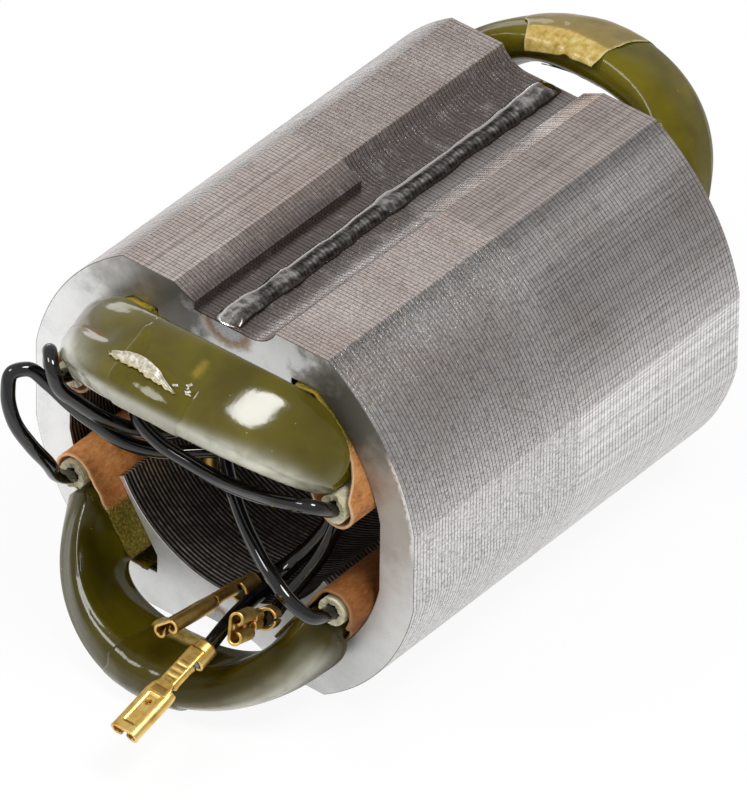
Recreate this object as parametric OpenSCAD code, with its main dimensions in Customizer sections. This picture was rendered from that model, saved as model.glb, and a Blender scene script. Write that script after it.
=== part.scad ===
// Field stator of a two-pole universal motor, as used in hand-held power tools.
// The motor axis lies along Y and the four leads come out at the -Y end.
// Origin: centre of the rotor bore, halfway along the lamination stack. +Z is up.

/* [Lamination stack] */
// Thickness of one electrical-steel sheet
sheet_t = 0.5; // [0.35:0.05:0.65]
// Number of sheets in the front pack
front_sheets = 54; // [44:1:64]
// Number of sheets in the rear pack, which is turned over
rear_sheets = 53; // [44:1:64]
// Radius of the round outside of a sheet
core_r = 25.8; // [23:0.1:29]
// How far the lower and the upper flats cut into the round outside
flat_cut = 3.9; // [3:0.1:5]
// How far the side flats cut into the round outside
side_cut = 0.45; // [0.2:0.05:1.2]

/* [Yoke and poles] */
// Width of the yoke between the outside and the slots
yoke_t = 4.6; // [4:0.1:5.2]
// Depth of a slot between the yoke and the rotor bore
slot_depth = 6.1; // [5.5:0.1:7]
// Width of the pole neck
neck_w = 17.8; // [16:0.1:19]
// Height of the slot beside the pole neck
neck_h = 2.2; // [1.8:0.1:2.6]
// Angle of the pole tip above the horizontal
tip_angle = 27.3; // [24:0.1:32]
// Thickness of the pole horn at its tip
horn_tip_t = 0.75; // [0.5:0.05:1]

/* [Key grooves] */
// Width of the groove at the flat
groove_w = 13.5; // [11:0.1:15]
// Depth of the groove below the flat
groove_h = 2.2; // [1.6:0.1:2.6]
// Width of the groove floor
floor_w = 6.6; // [5:0.1:8]
// Distance of the ledge in one groove wall from the middle
ledge_x = 4.05; // [3.6:0.05:5]
// Depth of that ledge below the flat
ledge_h = 1.35; // [0.8:0.05:1.5]

/* [Weld beads] */
// Width of the weld bead along the groove floor
bead_w = 2.2; // [1.6:0.1:3]
// Height of the weld bead
bead_h = 0.8; // [0.5:0.05:1]
// Width of the weld pools at the ends and at the break between the packs
pool_w = 2.9; // [2:0.1:3.6]
// Height of the weld pools
pool_h = 1.1; // [0.8:0.05:1.4]
// Length of the long weld pool at the front end
pool_len = 11; // [6:0.5:16]

/* [Slot liners] */
// Thickness of the liner paper
liner_t = 0.35; // [0.2:0.05:0.45]
// Clearance between the liner and the slot wall
liner_fit = 0.05; // [0.02:0.01:0.1]
// How far a liner stands out of the end faces
liner_out = 3.4; // [2:0.1:5]
// How much shorter a liner's outer leg is than its inner leg, beside the pole neck
liner_step = 3; // [1:0.1:3]
// Space between the pole neck and the open edge of a liner
liner_open = 0.9; // [0.4:0.1:1.6]
// Angle of the closed end of a liner above the horizontal
seat_angle = 21; // [19:0.1:23]

/* [Coils] */
// Clearance between a coil and its liners and sleeves
coil_fit = 0.2; // [0.1:0.05:0.3]
// Space between the liner's end and the inner side of the end turn
turn_clear = 0.9; // [0.6:0.1:2]
// Axial width of the end turn
turn_w = 9.6; // [8:0.1:11]
// Height of the end turn
turn_h = 6.4; // [5:0.1:6.5]
// How far the end turn stays inside the plane of the flats
turn_inset = 0.25; // [0.1:0.05:1]

/* [End-turn wraps] */
// Thickness of the paper tape round an end turn
wrap_t = 0.2; // [0.1:0.05:0.3]
// Half of the angle of the end turn that a wrap covers
wrap_angle = 15; // [10:1:20]
// Shift of the front wraps along the end turn
wrap_shift = 7.5; // [0:0.5:15]

/* [Leads] */
// Outside diameter of a lead
lead_d = 1.6; // [1.2:0.1:1.8]
// Clearance between a lead and the sleeve or crimp round it
lead_fit = 0.1; // [0.05:0.05:0.2]
// Outside diameter of the fibreglass sleeve on each lead
sleeve_d = 3.4; // [2.8:0.1:3.6]
// How far a sleeve reaches into the slot
sleeve_in = 16; // [10:1:20]
// How far a sleeve stands out of the liner's end
sleeve_out = 0.3; // [0.1:0.1:0.6]
// Length of the lead inside its sleeve
lead_in = 7; // [4:1:10]
// Length of the soldered splice between a lead and its coil wire
splice_len = 6; // [4:0.5:8]

/* [Terminals] */
// Thickness of the terminal's brass strip
strip_t = 0.35; // [0.25:0.05:0.45]
// Width of that strip between the crimps
strip_w = 1.6; // [1.2:0.1:1.8]
// Width of the receptacle
box_w = 3.6; // [2.8:0.1:3.8]
// Height of the receptacle
box_h = 1.6; // [1.3:0.1:1.9]
// Length of the receptacle
box_len = 6.4; // [5:0.1:7.5]
// Length of the crimp on the lead's insulation
grip_len = 2.4; // [1.8:0.1:3]
// Length of the crimp on the bare conductor
crimp_len = 3; // [2:0.1:3.6]
// Width of the crimp on the bare conductor
crimp_w = 2; // [1.6:0.1:2.4]
// Length of the strip between one crimp or receptacle and the next
neck_len = 0.8; // [0.5:0.1:1.2]
// Diameter of the latch dimple in the receptacle's floor
dimple_d = 0.9; // [0.6:0.1:1.2]

/* [Hidden] */
$fn = 96;
left = -1;
right = 1;
upper = 1;
lower = -1;
front = -1;
rear = 1;
// Reach of a cutting shape past the face that it cuts
over = 1;

// Stack
half_len = sheet_t * (front_sheets + rear_sheets) / 2;
break_y = sheet_t * front_sheets - half_len;

// Half height between the flats, half width between the side flats
flat_z = core_r - flat_cut;
side_x = core_r - side_cut;

// Slots: the horn's outer side runs along one straight line from the neck to the tip
slot_r = core_r - yoke_t;
bore_r = slot_r - slot_depth;
slot_top = flat_z - yoke_t;
slot_side = side_x - yoke_t;
horn_root = [neck_w / 2, slot_top - neck_h];
tip_out = (bore_r + horn_tip_t) * [cos(tip_angle), sin(tip_angle)];
tip_in = bore_r * [cos(tip_angle), sin(tip_angle)];
along = (tip_out - horn_root) / norm(tip_out - horn_root);
across = [-along.y, along.x];
horn_turn = atan2(along.y, along.x);

// Groove: one wall slopes to a ledge, the other is a hollow of one radius
floor_z = flat_z - groove_h;
wall_run = (groove_w - floor_w) / 2;
wall_r = (wall_run * wall_run + groove_h * groove_h) / (2 * groove_h);

// Closed end of a liner: a circle that touches the horn's line and the yoke's arc alike
seat_dir = [cos(seat_angle), sin(seat_angle)];
seat_reach = (slot_r + horn_root * across) / (1 + seat_dir * across);
seat = seat_reach * seat_dir;
seat_r = slot_r - seat_reach - liner_fit;
seat_s = (seat - horn_root) * along;
liner_in = liner_fit + liner_t;
open_x = neck_w / 2 + liner_open;
// Slope of the cut across a liner's outer leg, away from the horn and along it
neck_slope = liner_step / wall_at(0);
seat_slope = neck_slope * wall_at(seat_s) / seat_s;

// Coil: its section in the slot and in the end turn
coil_in = liner_in + coil_fit;
coil_s0 = liner_open;
coil_s1 = seat_s - sleeve_d / 2 - coil_fit;
coil_mid = (coil_s0 + coil_s1) / 2;
coil_half = (coil_s1 - coil_s0) / 2;
turn_d = liner_out + turn_clear + turn_w / 2;
turn_z = flat_z - turn_inset - turn_h / 2;
exit_gap = turn_clear / 3;
// Squareness of the coil's section in the slot and in the end turn
slot_square = 0.5;
turn_square = 0.8;
// How early the end turn rises from the slots to its full height, and how much earlier at its outside
rise = 1;
rise_lead = 0.2;
// Turn of the section between the slot and the end turn
twist = 20;
ring_sides = 24;
turn_step = 7.5;
wrap_gap = 0.05;

// Lead ends
sleeve_y = -half_len - liner_out - sleeve_out;
lead_y = sleeve_y + lead_in;
sleeve_bore = lead_d + 2 * lead_fit;
cord_sides = 8;

// Routes of the leads from the sleeve's mouth to the terminal, and the way each terminal points
upper_left_route = [
    [-17.7, -32.2, 7.4], [-17.6, -33.4, 9.4], [-16.9, -34.4, 12], [-15.7, -35.8, 13.6], [-14.5, -36.9, 13],
    [-13.7, -36.9, 11], [-12.5, -35.2, 8.4], [-10.9, -32.8, 5.6], [-8.8, -29.6, 3.2], [-6.6, -26, 2],
    [-4.6, -22, 1.4], [-3.4, -18, 0.4], [-1.4, -14.6, -1.6], [1.4, -12.4, -4.4], [4, -12.8, -7.6],
    [5, -15.6, -10.4], [4.6, -19, -12.2], [4, -22.6, -12.9], [3.6, -26, -12.8],
];
upper_left_aim = [-0.04, -0.99, 0.1];
upper_right_route = [
    [16.8, -32.6, 8], [13.2, -33.4, 7.4], [8.4, -32.6, 5.6], [3.6, -31.6, 4.2], [-0.8, -31.2, 4],
    [-5, -31.2, 4.6], [-8.4, -30.6, 6], [-10.4, -28.6, 7.8], [-10.6, -25, 8.8], [-10.2, -22.2, 9.2],
    [-9.8, -20, 8], [-9.6, -19.2, 5.6],
];
upper_right_aim = [0.05, -0.03, -1];
lower_left_route = [
    [-17, -33.2, -4.6], [-16.6, -35.2, -1.6], [-17.3, -37, 1.4], [-18.6, -38.2, 4.8], [-19.5, -38, 7.8],
    [-19.6, -37.2, 9.8], [-18.6, -35.9, 10], [-17, -34.6, 8.2], [-15, -33.4, 5.8], [-13, -32.2, 3.8],
    [-10.4, -30.4, 1.4], [-7.8, -28, 0], [-4.4, -24, -0.6], [-0.6, -20, -1], [4, -18, -1.2],
    [8, -18.8, -1.8], [9.6, -20.6, -4.2], [8.6, -22, -7.2], [6.8, -23.4, -10], [6, -26, -11.6],
    [6.2, -29.6, -11.4], [6.8, -33.6, -11.2], [7.4, -38, -11.8],
];
lower_left_aim = [-0.03, -0.95, -0.3];
lower_right_route = [
    [17.2, -33.4, -5.6], [15.6, -34.6, -3.8], [12.8, -34.2, -2.2], [9.4, -32.8, -1], [6.2, -31, -0.2],
    [3.2, -29, 0.8], [0.2, -26.6, 1.8], [-2.2, -23.6, 3], [-3, -20, 5], [-1.4, -17, 7.2],
    [2.4, -15.6, 8.2], [6.8, -16, 7.4], [10, -18, 4.6], [11.6, -20.4, 1], [11.6, -22.4, -3],
    [10.8, -24.2, -6.8], [9.6, -25.8, -9.6], [9, -27.6, -11.2], [9.4, -29.8, -11.5], [10.4, -31.6, -10.2],
];
lower_right_aim = [0.34, -0.78, 0.53];
// Roll of each terminal about its own length
upper_left_roll = 220;
upper_right_roll = 70;
lower_left_roll = 180;
lower_right_roll = 274;

function unit(v) = v / norm(v);
function soft(v, e) = sign(v) * pow(abs(v), e);
// Centre of the sleeve in the slot on one side, at a given place along the axis
function seat_at(side, level, y) = [side * seat.x, y, level * seat.y];
// Distance from the horn's line to the yoke wall, at distance s along the horn
function wall_at(s) = min(
    sqrt(pow(slot_r, 2) - pow(horn_root * along + s, 2)) - horn_root * across,
    (slot_top - horn_root.y - s * along.y) / across.y,
    (slot_side - horn_root.x - s * along.x) / across.x);
// Point in the slot, at distance u along the horn and t away from it
function slot_point(u, t) = horn_root + u * along + t * across;
// How far a liner stands out of the end face, at s along the horn and t away from it
function liner_end(s, t) = liner_out + min(0, seat_slope * s - neck_slope * t);
// One wire on the coil's surface: phi picks the wire, theta goes round the end turn from right to left
function wire(phi, theta, grow) =
    let (
        u = coil_mid + coil_half * soft(cos(phi), slot_square),
        half = wall_at(u) / 2,
        t = half + (half - coil_in) * soft(sin(phi), slot_square),
        p = slot_point(u, t),
        exit_d = liner_end(u, t) + exit_gap,
        d = turn_d + (turn_w / 2 + grow) * soft(cos(phi + twist), turn_square),
        z = turn_z + (turn_h / 2 + grow) * soft(sin(phi + twist), turn_square)
    )
    [
        p.x * cos(theta),
        exit_d + (d - exit_d) * sin(theta),
        p.y + (z - p.y) * pow(sin(theta), rise - rise_lead * sin(phi)),
    ];
// Ring of points round the upper end turn at one end of the stack
function turn_ring(end, theta, grow) = [
    for (k = [0:ring_sides - 1])
        let (w = wire(360 * k / ring_sides, theta, grow))
        [w.x, end * (half_len + w.y), w.z]
];
// Two triangles for each side between neighbouring rings, for points listed ring by ring
function band(a, b, sides) = [
    for (k = [0:sides - 1])
        let (n = (k + 1) % sides)
        each [
            [a * sides + k, b * sides + k, b * sides + n],
            [a * sides + k, b * sides + n, a * sides + n],
        ]
];
function tangent(p, i) = unit(p[min(i + 1, len(p) - 1)] - p[max(i - 1, 0)]);
// Side direction at each point of a route, carried along without twist
function sides_of(p, i = 0, last = [0, 0, 1], found = []) =
    i == len(p)
        ? found
        : let (t = tangent(p, i), n = unit(last - t * (last * t)))
          sides_of(p, i + 1, n, concat(found, [n]));

module along_y(y0, y1) {
    translate([0, y1, 0]) rotate([90, 0, 0]) linear_extrude(y1 - y0) children();
}

module tube(p, d) {
    n = sides_of(p);
    last = len(p) - 1;
    points = [
        for (i = [0:last])
            let (b = cross(tangent(p, i), n[i]))
            for (k = [0:cord_sides - 1])
                let (a = 360 * k / cord_sides)
                p[i] + d / 2 * (cos(a) * n[i] + sin(a) * b)
    ];
    faces = [
        [for (k = [0:cord_sides - 1]) k],
        for (i = [0:last - 1]) each band(i, i + 1, cord_sides),
        [for (k = [cord_sides - 1:-1:0]) last * cord_sides + k],
    ];
    polyhedron(points, faces);
}

module groove(ledge_side) {
    mirror([ledge_side == right ? 1 : 0, 0]) {
        polygon([
            [-groove_w / 2, flat_z], [-ledge_x, flat_z - ledge_h], [-ledge_x, floor_z],
            [floor_w / 2, floor_z], [floor_w / 2, flat_z + over], [-groove_w / 2, flat_z + over],
        ]);
        translate([floor_w / 2, floor_z + wall_r]) circle(wall_r);
    }
}

module pole() {
    difference() {
        polygon([
            [horn_root.x, slot_top + over], horn_root, tip_out, tip_in, [0, 0],
            [-tip_in.x, tip_in.y], [-tip_out.x, tip_out.y], [-horn_root.x, horn_root.y],
            [-horn_root.x, slot_top + over],
        ]);
        circle(bore_r);
    }
}

// One sheet, with the groove's ledge on the side that is given
module sheet(ledge_side) {
    difference() {
        intersection() {
            circle(core_r);
            square(2 * [side_x, flat_z], center = true);
        }
        for (level = [0, 1]) mirror([0, level]) groove(ledge_side);
        difference() {
            intersection() {
                circle(slot_r);
                square(2 * [slot_side, slot_top], center = true);
            }
            for (level = [0, 1]) mirror([0, level]) pole();
        }
    }
}

module front_pack() {
    color([0.52, 0.49, 0.47]) along_y(-half_len, break_y) sheet(left);
}

module rear_pack() {
    color([0.48, 0.45, 0.44]) along_y(break_y, half_len) sheet(right);
}

// A run of weld on the groove floor: a segment of a round bar
module weld_run(y0, y1, w, h) {
    r = (w * w / 4 + h * h) / (2 * h);
    along_y(y0, y1) intersection() {
        translate([0, floor_z + h - r]) circle(r);
        translate([-w, floor_z]) square([2 * w, h + over]);
    }
}

module weld_bead(level) {
    mirror([0, 0, level == lower ? 1 : 0]) color([0.75, 0.74, 0.73]) {
        weld_run(-half_len, half_len, bead_w, bead_h);
        weld_run(-half_len, pool_len - half_len, pool_w, pool_h);
        weld_run(break_y - bead_w, break_y + bead_w, pool_w, pool_h);
        weld_run(half_len - pool_len / 2, half_len, pool_w, pool_h);
    }
}

// A closed loop of rings: out of the right slot, round the front, and back round the rear
module coil(level) {
    steps = round(180 / turn_step);
    rings = [
        for (i = [0:steps]) turn_ring(front, i * turn_step, 0),
        for (i = [steps:-1:0]) turn_ring(rear, i * turn_step, 0),
    ];
    points = [for (ring = rings) each ring];
    faces = [for (i = [0:len(rings) - 1]) each band(i, (i + 1) % len(rings), ring_sides)];
    mirror([0, 0, level == lower ? 1 : 0]) color([0.36, 0.34, 0.09]) polyhedron(points, faces);
}

// Paper tape round the middle of an end turn
module end_wrap(end, level) {
    shift = end == front ? wrap_shift : 0;
    angles = [for (a = [-wrap_angle:turn_step:wrap_angle]) 90 + shift + a];
    rings = [
        for (a = angles) turn_ring(front, a, wrap_gap + wrap_t),
        for (i = [len(angles) - 1:-1:0]) turn_ring(front, angles[i], wrap_gap),
    ];
    points = [for (ring = rings) each ring];
    faces = [for (i = [0:len(rings) - 1]) each band(i, (i + 1) % len(rings), ring_sides)];
    mirror([0, end == rear ? 1 : 0, 0]) mirror([0, 0, level == lower ? 1 : 0])
        color([0.72, 0.64, 0.32]) polyhedron(points, faces);
}

// Space inside a slot, drawn in from its walls: the channel along the horn and its round closed end
module slot_space(inset, edge_x) {
    intersection() {
        circle(slot_r - inset);
        square(2 * [slot_side - inset, slot_top - inset], center = true);
        translate(horn_root) rotate(horn_turn)
            translate([-slot_r, inset]) square([slot_r + seat_s, slot_r]);
        translate([edge_x, 0]) square(core_r);
    }
    translate(seat) circle(seat_r + liner_fit - inset);
}

// Slanting cut that shortens the outer leg of a liner beyond the rear face
module liner_trim() {
    steep = norm([seat_slope, neck_slope]);
    turn = horn_turn - atan2(neck_slope, seat_slope);
    translate([horn_root.x, half_len + liner_out, horn_root.y]) rotate([0, -turn, 0])
        linear_extrude(2 * core_r, center = true)
            polygon(core_r * [[-1, -steep], [1, steep], [1, 1 + steep], [-1, 1 + steep]]);
}

module slot_liner(side, level) {
    mirror([side == left ? 1 : 0, 0, 0]) mirror([0, 0, level == lower ? 1 : 0])
        color([0.72, 0.46, 0.27]) difference() {
            along_y(-half_len - liner_out, half_len + liner_out) difference() {
                slot_space(liner_fit, open_x);
                slot_space(liner_in, open_x - over);
            }
            for (end = [0, 1]) mirror([0, end, 0]) liner_trim();
        }
}

module lead_sleeve(side, level) {
    color([0.86, 0.84, 0.72]) along_y(sleeve_y, sleeve_y + sleeve_in)
        translate([side * seat.x, level * seat.y])
            difference() {
                circle(d = sleeve_d);
                circle(d = sleeve_bore);
            }
}

module splice(side, level) {
    color([0.7, 0.68, 0.64]) along_y(lead_y, lead_y + splice_len)
        translate([side * seat.x, level * seat.y]) circle(d = lead_d);
}

// A lead from its splice, out of the sleeve and along its route into the terminal's crimp
module lead(side, level, route, aim) {
    end = route[len(route) - 1];
    color([0.06, 0.06, 0.06]) tube(concat(
        [seat_at(side, level, lead_y), seat_at(side, level, sleeve_y)],
        route,
        [end + grip_len * unit(aim)]), lead_d);
}

// Section of the receptacle: a floor with both edges rolled in
module receptacle_section() {
    roll_r = box_h / 2;
    roll_x = box_w / 2 - roll_r;
    translate([-roll_x, 0]) square([2 * roll_x, strip_t]);
    for (side = [0, 1]) mirror([side, 0]) translate([roll_x, roll_r]) difference() {
        circle(roll_r);
        circle(roll_r - strip_t);
        translate([-2 * roll_r, -roll_r]) square([2 * roll_r, box_h]);
    }
}

// Crimp terminal with its lead end at the origin, pointing along +X
module receptacle() {
    grip_r = lead_d / 2 + lead_fit;
    floor_bottom = -grip_r - strip_t;
    crimp_x = grip_len + neck_len;
    box_x = crimp_x + crimp_len + neck_len;
    color([0.84, 0.65, 0.3]) {
        rotate([90, 0, 90]) linear_extrude(grip_len) difference() {
            circle(grip_r + strip_t);
            circle(grip_r);
        }
        translate([0, 0, floor_bottom]) difference() {
            union() {
                translate([grip_len / 2, -strip_w / 2, 0])
                    cube([box_x + over - grip_len / 2, strip_w, strip_t]);
                translate([box_x, 0, 0]) rotate([90, 0, 90])
                    linear_extrude(box_len) receptacle_section();
                for (side = [left, right])
                    translate([crimp_x, side * crimp_w / 4, crimp_w / 4 + strip_t / 2])
                        rotate([0, 90, 0]) cylinder(h = crimp_len, r = crimp_w / 4 + strip_t / 2);
            }
            translate([box_x + box_len / 2, 0, -over])
                cylinder(h = strip_t + over, d = dimple_d);
        }
    }
}

// A terminal at the end of a lead's route, turned to its aim and rolled about its length
module terminal(route, aim, roll) {
    a = unit(aim);
    translate(route[len(route) - 1])
        rotate([roll, -asin(a.z), atan2(a.y, a.x)]) receptacle();
}

front_pack();
rear_pack();
weld_bead(upper);  // weld_bead_top
weld_bead(lower);  // weld_bead_bottom
coil(upper);  // upper_coil
coil(lower);  // lower_coil
slot_liner(left, upper);  // liner_upper_left
slot_liner(right, upper);  // liner_upper_right
slot_liner(left, lower);  // liner_lower_left
slot_liner(right, lower);  // liner_lower_right
end_wrap(front, upper);  // front_wrap_upper
end_wrap(front, lower);  // front_wrap_lower
end_wrap(rear, upper);  // rear_wrap_upper
end_wrap(rear, lower);  // rear_wrap_lower
lead_sleeve(left, upper);  // sleeve_upper_left
lead_sleeve(right, upper);  // sleeve_upper_right
lead_sleeve(left, lower);  // sleeve_lower_left
lead_sleeve(right, lower);  // sleeve_lower_right
splice(left, upper);  // splice_upper_left
splice(right, upper);  // splice_upper_right
splice(left, lower);  // splice_lower_left
splice(right, lower);  // splice_lower_right
lead(left, upper, upper_left_route, upper_left_aim);  // lead_upper_left
lead(right, upper, upper_right_route, upper_right_aim);  // lead_upper_right
lead(left, lower, lower_left_route, lower_left_aim);  // lead_lower_left
lead(right, lower, lower_right_route, lower_right_aim);  // lead_lower_right
terminal(upper_left_route, upper_left_aim, upper_left_roll);  // terminal_upper_left
terminal(upper_right_route, upper_right_aim, upper_right_roll);  // terminal_upper_right
terminal(lower_left_route, lower_left_aim, lower_left_roll);  // terminal_lower_left
terminal(lower_right_route, lower_right_aim, lower_right_roll);  // terminal_lower_right
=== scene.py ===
"""Looks of the motor stator: two packs of stamped sheets, two dipped coils, liners, leads and terminals.

Lengths are millimetres until a mesh is made. The motor axis is Y, the leads leave at the -Y end,
and Z is up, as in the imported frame.
"""

import bmesh
import bpy
import numpy as np
from mathutils import Matrix, Vector
from mathutils.geometry import tessellate_polygon


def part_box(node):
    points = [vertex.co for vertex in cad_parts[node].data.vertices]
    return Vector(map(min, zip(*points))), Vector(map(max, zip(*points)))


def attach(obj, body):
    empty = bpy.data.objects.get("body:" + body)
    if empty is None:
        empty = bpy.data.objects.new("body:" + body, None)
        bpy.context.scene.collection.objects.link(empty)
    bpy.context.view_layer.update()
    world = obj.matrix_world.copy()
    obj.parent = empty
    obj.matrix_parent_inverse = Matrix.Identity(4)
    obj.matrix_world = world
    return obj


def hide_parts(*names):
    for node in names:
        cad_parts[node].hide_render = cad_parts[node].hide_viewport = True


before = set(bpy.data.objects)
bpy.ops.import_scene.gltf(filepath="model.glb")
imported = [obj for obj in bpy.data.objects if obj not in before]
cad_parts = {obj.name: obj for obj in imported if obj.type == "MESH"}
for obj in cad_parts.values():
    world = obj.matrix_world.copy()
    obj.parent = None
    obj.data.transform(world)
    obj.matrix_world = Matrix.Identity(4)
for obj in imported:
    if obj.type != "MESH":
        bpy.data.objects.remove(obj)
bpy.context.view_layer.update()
MM = 0.001
FULL_TURN = 2 * np.pi
LEFT, RIGHT, LOWER, UPPER, FRONT, REAR = -1, 1, -1, 1, -1, 1
CORNERS = {
    "upper_left": (LEFT, UPPER),
    "upper_right": (RIGHT, UPPER),
    "lower_left": (LEFT, LOWER),
    "lower_right": (RIGHT, LOWER),
}
# Whether a grid of points closes on itself, from row to row and from column to column
FLAT_GRID, TUBE_GRID, RING_GRID = (False, False), (False, True), (True, True)


def node_box(node):
    """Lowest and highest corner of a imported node, in millimetres."""
    return [np.round(np.array(corner) / MM, 3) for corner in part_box(node)]


# Stack: outside, slots, poles and key grooves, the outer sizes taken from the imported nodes
(_, FRONT_Y, _), (SIDE_X, BREAK_Y, FLAT_Z) = node_box("front_pack")
HALF_LEN = -FRONT_Y
SHEET, JOINT_DEEP, END_DEEP = 0.5, 0.08, 0.1
# A sheet's joint and the two rims of its cut edge, as shares of its thickness
SHEET_RINGS = [0, 0.08, 0.92]
SIDE_CUT, YOKE, POLE_DEEP = 0.45, 4.6, 6.1
CORE_R = SIDE_X + SIDE_CUT
SLOT_R, SLOT_TOP, SLOT_SIDE = CORE_R - YOKE, FLAT_Z - YOKE, SIDE_X - YOKE
BORE_R = SLOT_R - POLE_DEEP
NECK_X, NECK_H, TIP_T = 8.9, 2.2, 0.75
TIP_ANGLE = np.radians(27.3)
TIP_IN = BORE_R * np.array([np.cos(TIP_ANGLE), np.sin(TIP_ANGLE)])
TIP_OUT = TIP_IN * (1 + TIP_T / BORE_R)
HORN_ROOT = np.array([NECK_X, SLOT_TOP - NECK_H])
ALONG = (TIP_OUT - HORN_ROOT) / np.linalg.norm(TIP_OUT - HORN_ROOT)
ACROSS = np.array([-ALONG[1], ALONG[0]])
GROOVE_X, GROOVE_DEEP, FLOOR_X, LEDGE_X, LEDGE_DEEP = 6.75, 2.2, 3.3, 4.05, 1.35
FLOOR_Z, LEDGE_Z = FLAT_Z - GROOVE_DEEP, FLAT_Z - LEDGE_DEEP
HOLLOW_R = ((GROOVE_X - FLOOR_X) ** 2 + (FLAT_Z - FLOOR_Z) ** 2) / (2 * (FLAT_Z - FLOOR_Z))

# Liners, sleeves, coils and wraps
LINER_T, LINER_FIT, LINER_OUT, LINER_LOW, LINER_STEP, LINER_OPEN = 0.35, 0.05, 3.4, 0.5, 3.0, 0.9
SEAT_ANGLE = np.radians(21)
SEAT_DIR = np.array([np.cos(SEAT_ANGLE), np.sin(SEAT_ANGLE)])
SEAT_REACH = (SLOT_R + HORN_ROOT @ ACROSS) / (1 + SEAT_DIR @ ACROSS)
SEAT = SEAT_REACH * SEAT_DIR
SEAT_R = SLOT_R - SEAT_REACH - LINER_FIT
SEAT_S = (SEAT - HORN_ROOT) @ ALONG
SLEEVE_D, SLEEVE_IN, SLEEVE_OUT = 3.4, 16, 0.3
SLEEVE_Y = -HALF_LEN - LINER_OUT - SLEEVE_OUT
COIL_FIT = 0.2
COIL_IN = LINER_FIT + LINER_T + COIL_FIT
COIL_S0, COIL_S1 = LINER_OPEN, SEAT_S - SLEEVE_D / 2 - COIL_FIT
TURN_W, TURN_H, TURN_GAP, TURN_UNDER = 9.6, 6.4, 0.9, 0.25
TURN_D = LINER_OUT + TURN_GAP + TURN_W / 2
TURN_Z = FLAT_Z - TURN_UNDER - TURN_H / 2
TURN_TOP = FLAT_Z - 0.07
TWIST = np.radians(20)
FLAP_T, SCRAP_T = 0.07, 0.06
# End turns' sections: power that squares them off, half thickness, slope of the top, lean of the sides, sag
SECTIONS = {
    (FRONT, UPPER): (0.6, 2.35, 0.36, 0.2, 0.0),
    (FRONT, LOWER): (0.68, 2.75, 0.04, 0.1, 0.45),
    (REAR, UPPER): (0.82, 2.75, 0.36, 0.2, 0.0),
    (REAR, LOWER): (0.82, 2.75, 0.36, 0.2, 0.0),
}
# Painted light and shade on each liner's paper, from 0 lightest to 1 darkest, and how far its top leg
# stands out further at the front
PAPER_LIGHT_SHADE_AND_LIP = {
    "upper_left": (0.45, 1.7),
    "upper_right": (0.28, 0.0),
    "lower_left": (0.0, 0.0),
    "lower_right": (0.95, 0.0),
}

# Leads and terminals
LEAD_D, LEAD_IN = 1.6, 7
STRIP_T, STRIP_FIT, GRIP_LEN, CRIMP_X, CRIMP_LEN, BOX_X, BOX_LEN = 0.35, 0.1, 2.4, 3.2, 3.0, 7.0, 6.4
STRIP_Z = -LEAD_D / 2 - STRIP_FIT - STRIP_T / 2
ROUTES = {
    "upper_left": [
        [-17.7, -32.2, 7.4], [-17.6, -33.4, 9.4], [-16.9, -34.4, 12], [-15.7, -35.8, 13.6],
        [-14.5, -36.9, 13], [-13.7, -36.9, 11], [-12.5, -35.2, 8.4], [-10.9, -32.8, 5.6],
        [-8.8, -29.6, 3.2], [-6.6, -26, 2], [-4.6, -22, 1.4], [-3.4, -18, 0.4],
        [-1.4, -14.6, -1.6], [1.4, -12.4, -4.4], [4, -12.8, -7.6], [5, -15.6, -10.4],
        [4.6, -19, -12.2], [4, -22.6, -12.9], [3.6, -26, -12.8],
    ],
    "upper_right": [
        [16.8, -32.6, 8], [13.2, -33.4, 7.4], [8.4, -32.6, 5.6], [3.6, -31.6, 4.2],
        [-0.8, -31.2, 4], [-5, -31.2, 4.6], [-8.4, -30.6, 6], [-10.4, -28.6, 7.8],
        [-10.6, -25, 8.8], [-10.2, -22.2, 9.2], [-9.8, -20, 8], [-9.6, -19.2, 5.6],
    ],
    "lower_left": [
        [-17, -33.2, -4.6], [-16.6, -35.2, -1.6], [-17.3, -37, 1.4], [-18.6, -38.2, 4.8],
        [-19.5, -38, 7.8], [-19.6, -37.2, 9.8], [-18.6, -35.9, 10], [-17, -34.6, 8.2],
        [-15, -33.4, 5.8], [-13, -32.2, 3.8], [-10.4, -30.4, 1.4], [-7.8, -28, 0],
        [-4.4, -24, -0.6], [-0.6, -20, -1], [4, -18, -1.2], [8, -18.8, -1.8],
        [9.6, -20.6, -4.2], [8.6, -22, -7.2], [6.8, -23.4, -10], [6, -26, -11.6],
        [6.2, -29.6, -11.4], [6.8, -33.6, -11.2], [7.4, -38, -11.8],
    ],
    "lower_right": [
        [17.2, -33.4, -5.6], [15.6, -34.6, -3.8], [12.8, -34.2, -2.2], [9.4, -32.8, -1],
        [6.2, -31, -0.2], [3.2, -29, 0.8], [0.2, -26.6, 1.8], [-2.2, -23.6, 3],
        [-3, -20, 5], [-1.4, -17, 7.2], [2.4, -15.6, 8.2], [6.8, -16, 7.4],
        [10, -18, 4.6], [11.6, -20.4, 1], [11.6, -22.4, -3], [10.8, -24.2, -6.8],
        [9.6, -25.8, -9.6], [9, -27.6, -11.2], [9.4, -29.8, -11.5], [10.4, -31.6, -10.2],
    ],
}
# The way each terminal points, and its roll about its own length in degrees
TERMINAL_AIMS = {
    "upper_left": ([-0.04, -0.99, 0.1], 220),
    "upper_right": ([0.05, -0.03, -1], 70),
    "lower_left": ([-0.03, -0.95, -0.3], 180),
    "lower_right": ([0.34, -0.78, 0.53], 274),
}


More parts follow.
